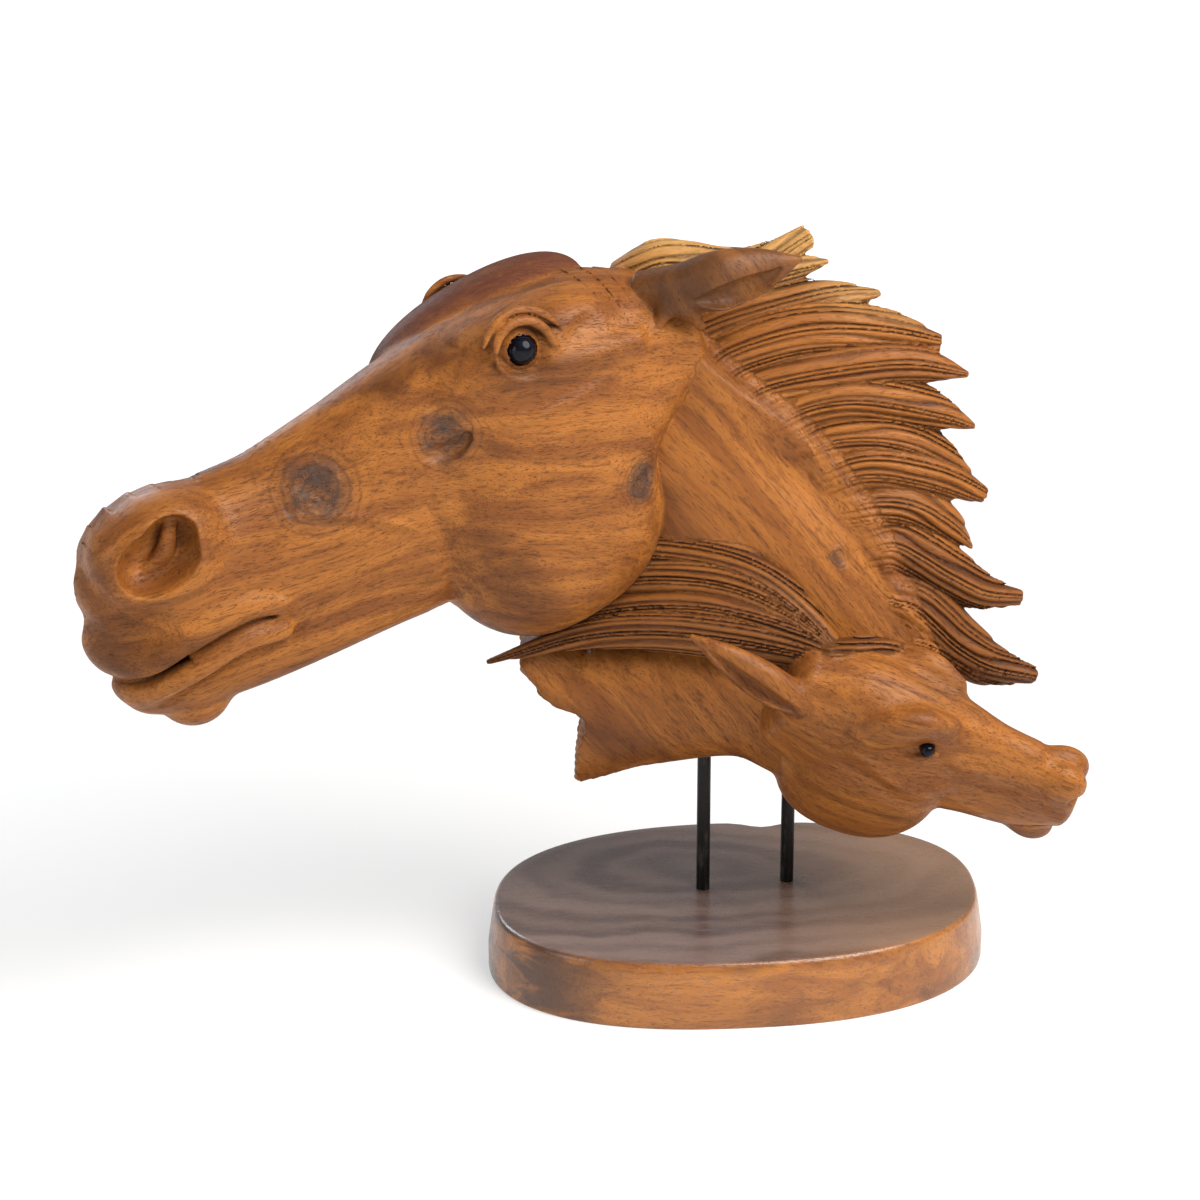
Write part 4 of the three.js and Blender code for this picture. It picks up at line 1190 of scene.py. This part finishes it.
def carved_wood_material(s):
    """Oiled and varnished hardwood that follows the carving's own grain, darker in every hollow by painted
    shade that partly stands for staining; painted shade also lies in the hair's valleys and on the near side
    of the ear, and a painted highlight on the hair's crests.
    """
    material, n, shader = new_material("Carved Wood")
    grain, hair = n.attribute("grain", True), n.attribute("hair")
    hollow, russet = n.attribute("hollow"), n.attribute("russet")
    place = n.place()
    wood = use_group(n, group_once("Wood Grain", wood_grain_group), Grain=grain, Light=colour4(s.light_wood),
                     Middle=colour4(s.mid_wood), Dark=colour4(s.dark_wood), Streaks=0.5)
    at = n.axes(place)
    # the mane is yellow sapwood at its top and grows darker towards its foot
    height_up = n.math("ADD", at["Z"], n.times(at["X"], 0.15))
    patchy = n.math("ADD", height_up, n.times(n.noise(place, 14.0), 0.05))
    sap = n.times(n.ramp(patchy, 0.43, 0.475), hair)
    tone = n.mix(sap, wood["Color"], n.mix(0.3, colour4(s.sapwood), wood["Color"]))
    low = n.times(n.ramp(height_up, 0.36, 0.20), hair)
    tone = n.mix(n.times(low, 0.55), tone, colour4(s.dark_wood))
    rough_patch = n.noise(n.stretch(grain, (0.03, 0.16, 0.16)), 1.0, 5.0, 0.7)
    reddened = n.times(russet, n.ramp(rough_patch, 0.3, 0.6, 0.65, 1.0))
    tone = n.mix(reddened, tone, colour4(s.russet))
    for centre, radius in KNOTS:
        knot = use_group(n, group_once("Knot", knot_group), Place=place, Centre=centre, Radius=radius)
        tone = n.mix(n.times(knot["Rings"], 0.38), tone, colour4(s.dark_wood))
        tone = n.mix(n.times(knot["Heart"], 0.8), tone, colour4(KNOT_GREY))
        tone = n.mix(n.times(knot["Cracks"], 0.85), tone, colour4(CRACK_BLACK))
    # painted shade in the valleys between the strands of hair, and a painted highlight on their crests
    wave = n.math("ABSOLUTE", n.math("SINE", n.times(n.axes(grain)["Y"], math.pi / STRAND_WIDTH)))
    uneven = n.ramp(n.noise(n.stretch(grain, (0.02, 0.05, 0.05)), 1.0, 3.0), 0.35, 0.65, 0.55, 1.0)
    valley_shade = n.times(n.times(n.ramp(wave, 0.0, 0.8, 1.0, 0.0), hair), uneven)
    tone = n.mix(n.times(valley_shade, 0.75), tone, colour4(SHADE_AND_STAIN_BROWN))
    crest_highlight = n.times(n.ramp(wave, 0.6, 1.0), hair)
    tone = n.mix(n.times(crest_highlight, 0.35), tone, colour4(s.light_wood))
    # painted shade makes the near side of the mare's ear greyer and darker than her face
    ear = n.times(n.ramp(at["Z"], 0.402, 0.415), n.ramp(at["X"], -0.066, -0.05))
    near = n.math("SUBTRACT", n.ramp(at["Y"], -0.038, -0.03, 1.0, 0.0), hair, True)
    ear = n.times(ear, near)
    tone = n.mix(n.times(ear, 0.5), tone, colour4(EAR_SHADE_BROWN))
    # painted shade that deepens with each hollow, partly standing for staining that settles there
    stain_and_hollow_shade = n.times(n.ramp(hollow, 0.3, 0.95), n.ramp(hair, 0.0, 1.0, 1.0, 0.5))
    tone = n.mix(n.times(stain_and_hollow_shade, 0.75), tone, colour4(SHADE_AND_STAIN_BROWN))
    n.put(tone, shader.inputs["Base Color"])
    worn = n.math("ADD", n.times(stain_and_hollow_shade, 0.25), n.times(russet, 0.2))
    rough = n.math("ADD", n.ramp(wood["Gloss"], 0.0, 1.0, 0.44, 0.6), worn)
    n.put(rough, shader.inputs["Roughness"])
    shader.inputs["Specular IOR Level"].default_value = 0.2
    shader.inputs["Coat Roughness"].default_value = 0.3
    n.put(n.ramp(hollow, 0.05, 0.5, 0.08, 0.0), shader.inputs["Coat Weight"])
    fibres = n.noise(n.stretch(grain, (0.05, 0.9, 0.9)), 1.0, 3.0, 0.6)
    height = n.math("ADD", wood["Height"], n.times(n.times(fibres, hair), 2.4))
    height = n.math("SUBTRACT", height, n.times(valley_shade, 2.2))
    height = n.math("ADD", height, n.times(n.times(rough_patch, russet), 9.0))
    n.put(bump(n, height, 0.0006, 0.6), shader.inputs["Normal"])
    return material


def slab_wood_material():
    """Varnished slab: brown-grey heartwood rings on top with a painted pool of light, warmer in hue, at its
    right, golden sides with one dark figure.
    """
    material, n, shader = new_material("Slab Wood")
    place = n.place()
    mm = n.stretch(place, (1 / MM, 1 / MM, 1 / MM))
    wood = use_group(n, group_once("Wood Grain", wood_grain_group), Grain=mm, Light=(0.45, 0.165, 0.025, 1),
                     Middle=(0.27, 0.085, 0.012, 1), Dark=(0.06, 0.018, 0.006, 1), Streaks=0.45)
    at = n.axes(place)
    wander = n.noise(place, 7.0, 3.0, 0.55)
    flat = n.stretch(n.add(place, (0.02, -0.05, 0)), (0.55, 1.0, 0.0))
    rings_at = n.math("ADD", n.distance(flat, (0, 0, 0)), n.times(wander, 0.09))
    rings = n.math("SINE", n.times(rings_at, 250.0))
    rings = n.math("ADD", rings, n.math("SINE", n.times(rings_at, 96.0)))
    ring_tone = n.mix(n.ramp(rings, -1.6, 1.8), (0.19, 0.125, 0.105, 1), (0.10, 0.060, 0.052, 1))
    fleck = n.noise(n.stretch(place, (60.0, 190.0, 60.0)), 1.0, 4.0, 0.65)
    ring_tone = n.mix(n.ramp(fleck, 0.45, 0.75, 0.0, 0.35), ring_tone, (0.26, 0.175, 0.15, 1))
    # painted pool of light, warmer in hue, on the right of the slab's top
    painted_warm_light = n.ramp(at["X"], -0.02, 0.11, 0.0, 0.6)
    ring_tone = n.mix(painted_warm_light, ring_tone, (0.32, 0.165, 0.075, 1))
    # one dark figure in the golden rim, at its left
    figure = n.noise(n.stretch(place, (16.0, 16.0, 60.0)), 1.0, 3.0, 0.6, 0.8)
    left = n.times(n.ramp(figure, 0.42, 0.58), n.ramp(at["X"], -0.125, -0.05, 1.0, 0.0))
    side_tone = n.mix(n.times(left, 0.85), wood["Color"], (0.045, 0.016, 0.006, 1))
    top = n.ramp(n.axes(n.new("ShaderNodeNewGeometry").outputs["Normal"])["Z"], 0.6, 0.98)
    tone = n.mix(top, side_tone, ring_tone)
    n.put(tone, shader.inputs["Base Color"])
    n.put(n.ramp(fleck, 0.3, 0.7, 0.24, 0.4), shader.inputs["Roughness"])
    shader.inputs["Coat Roughness"].default_value = 0.18
    shader.inputs["Coat Weight"].default_value = 0.35
    n.put(bump(n, n.math("ADD", fleck, wood["Height"]), 0.0004, 0.5), shader.inputs["Normal"])
    return material


def rod_material():
    """Black rod steel, slightly scuffed."""
    material, n, shader = new_material("Black Rod")
    place = n.place()
    scuff = n.noise(n.stretch(place, (220.0, 220.0, 60.0)), 1.0, 4.0, 0.6)
    n.put(n.mix(n.ramp(scuff, 0.5, 0.72), (0.008, 0.007, 0.007, 1), (0.05, 0.042, 0.036, 1)),
          shader.inputs["Base Color"])
    n.put(n.ramp(scuff, 0.35, 0.7, 0.28, 0.5), shader.inputs["Roughness"])
    shader.inputs["Metallic"].default_value = 0.6
    n.put(bump(n, scuff, 0.0002, 0.4), shader.inputs["Normal"])
    return material


def bead_material():
    """Glossy near-black glass of the eye beads."""
    material, n, shader = new_material("Eye Bead")
    cloud = n.noise(n.place(), 160.0, 2.0)
    n.put(n.mix(n.ramp(cloud, 0.4, 0.7), (0.002, 0.002, 0.004, 1), (0.006, 0.007, 0.014, 1)),
          shader.inputs["Base Color"])
    shader.inputs["Roughness"].default_value = 0.06
    shader.inputs["Specular IOR Level"].default_value = 0.16
    return material


def floor_material(tone, glow):
    """Pale matt floor that shines more with distance, so it stays pale to the horizon."""
    material, n, shader = new_material("Pale Floor")
    shader.inputs["Base Color"].default_value = (tone, tone, tone, 1)
    shine = n.ramp(n.distance(n.place(), (0, 0, 0)), 0.45, 3.0, glow, 0.98)
    n.put(n.mix(shine, (0, 0, 0, 1), (1, 1, 1, 1)), shader.inputs["Emission Color"])
    shader.inputs["Emission Strength"].default_value = 1.0
    shader.inputs["Roughness"].default_value = 0.9
    shader.inputs["Specular IOR Level"].default_value = 0.1
    return material


# ---------------------------------------------------------------- stage


CAMERA_AIM = (-0.085, 0.229)  # x and height of the point the camera looks at
LIGHT_AIM = (-0.08, 0, 0.23)


def soft_light(name, at, size, power, colour):
    """A round soft light that faces the carving."""
    light = bpy.data.lights.new(name, "AREA")
    light.shape, light.size, light.energy, light.color = "DISK", size, power, colour
    lamp = bpy.data.objects.new(name, light)
    lamp.location = at
    lamp.rotation_euler = (Vector(LIGHT_AIM) - Vector(at)).to_track_quat("-Z", "Y").to_euler()
    bpy.context.scene.collection.objects.link(lamp)


class CARVING_OT_stage(bpy.types.Operator):
    """Adds the pale floor, the soft lights and the camera"""

    bl_idname = "carving.stage"
    bl_label = "Set the Stage"

    def execute(self, context):
        s = context.scene.carving_stage
        mesh = bpy.data.meshes.new("floor")
        far = 30
        mesh.from_pydata([(-far, -far, 0), (far, -far, 0), (far, far, 0), (-far, far, 0)], [], [(0, 1, 2, 3)])
        floor = bpy.data.objects.new("floor", mesh)
        context.scene.collection.objects.link(floor)
        mesh.materials.append(floor_material(s.floor_tone, s.floor_glow))
        world = bpy.data.worlds.new("Studio")
        world.use_nodes = True
        world.node_tree.nodes["Background"].inputs["Color"].default_value = (1, 1, 1, 1)
        world.node_tree.nodes["Background"].inputs["Strength"].default_value = 0.32
        context.scene.world = world
        soft_light("key", (0.85, -0.7, 1.4), 1.5, s.key_power, (1, 0.96, 0.9))
        soft_light("fill", (-1.5, -1.0, 0.7), 0.9, s.fill_power, (1, 1, 1))
        soft_light("rim", (-1.0, 1.2, 1.0), 0.7, s.rim_power, (0.8, 0.9, 1.0))
        camera = bpy.data.objects.new("camera", bpy.data.cameras.new("camera"))
        camera.data.lens, camera.data.sensor_width = s.focal_length, 36
        tilt, back = s.camera_tilt, s.camera_distance
        x, z = CAMERA_AIM
        camera.location = (x, -back * math.cos(tilt), z + back * math.sin(tilt))
        camera.rotation_euler = (math.pi / 2 - tilt, 0, 0)
        context.scene.collection.objects.link(camera)
        context.scene.camera = camera
        context.scene.view_settings.view_transform = "Standard"
        return {"FINISHED"}


# ---------------------------------------------------------------- panel and registration


class CARVING_PT_panel(bpy.types.Panel):
    """Lists the pieces of the carving"""

    bl_label = "Carved Double Horse Head"
    bl_idname = "CARVING_PT_panel"
    bl_space_type = "VIEW_3D"
    bl_region_type = "UI"
    bl_category = "Carving"

    def draw(self, context):
        for group, operator, _ in PIECES:
            box = self.layout.box()
            settings = getattr(context.scene, group, None)
            if settings is not None:
                for name in settings.__annotations__:
                    box.prop(settings, name)
            box.operator(operator.bl_idname)


PIECES = [
    ("carving_block", CARVING_OT_block, CarvingSettings),
    ("carving_slab", CARVING_OT_slab, SlabSettings),
    ("carving_rods", CARVING_OT_rods, RodSettings),
    ("carving_eyes", CARVING_OT_eyes, None),
    ("carving_stage", CARVING_OT_stage, StageSettings),
]


def register():
    for group, operator, settings in PIECES:
        if settings is not None:
            bpy.utils.register_class(settings)
            setattr(bpy.types.Scene, group, bpy.props.PointerProperty(type=settings))
        bpy.utils.register_class(operator)
    bpy.utils.register_class(CARVING_PT_panel)


def unregister():
    bpy.utils.unregister_class(CARVING_PT_panel)
    for group, operator, settings in reversed(PIECES):
        bpy.utils.unregister_class(operator)
        if settings is not None:
            delattr(bpy.types.Scene, group)
            bpy.utils.unregister_class(settings)


def main():
    register()
    bpy.ops.carving.block()
    bpy.ops.carving.slab()
    bpy.ops.carving.rods()
    bpy.ops.carving.eyes()
    bpy.ops.carving.stage()
    bpy.context.view_layer.update()


if __name__ == "__main__":
    main()
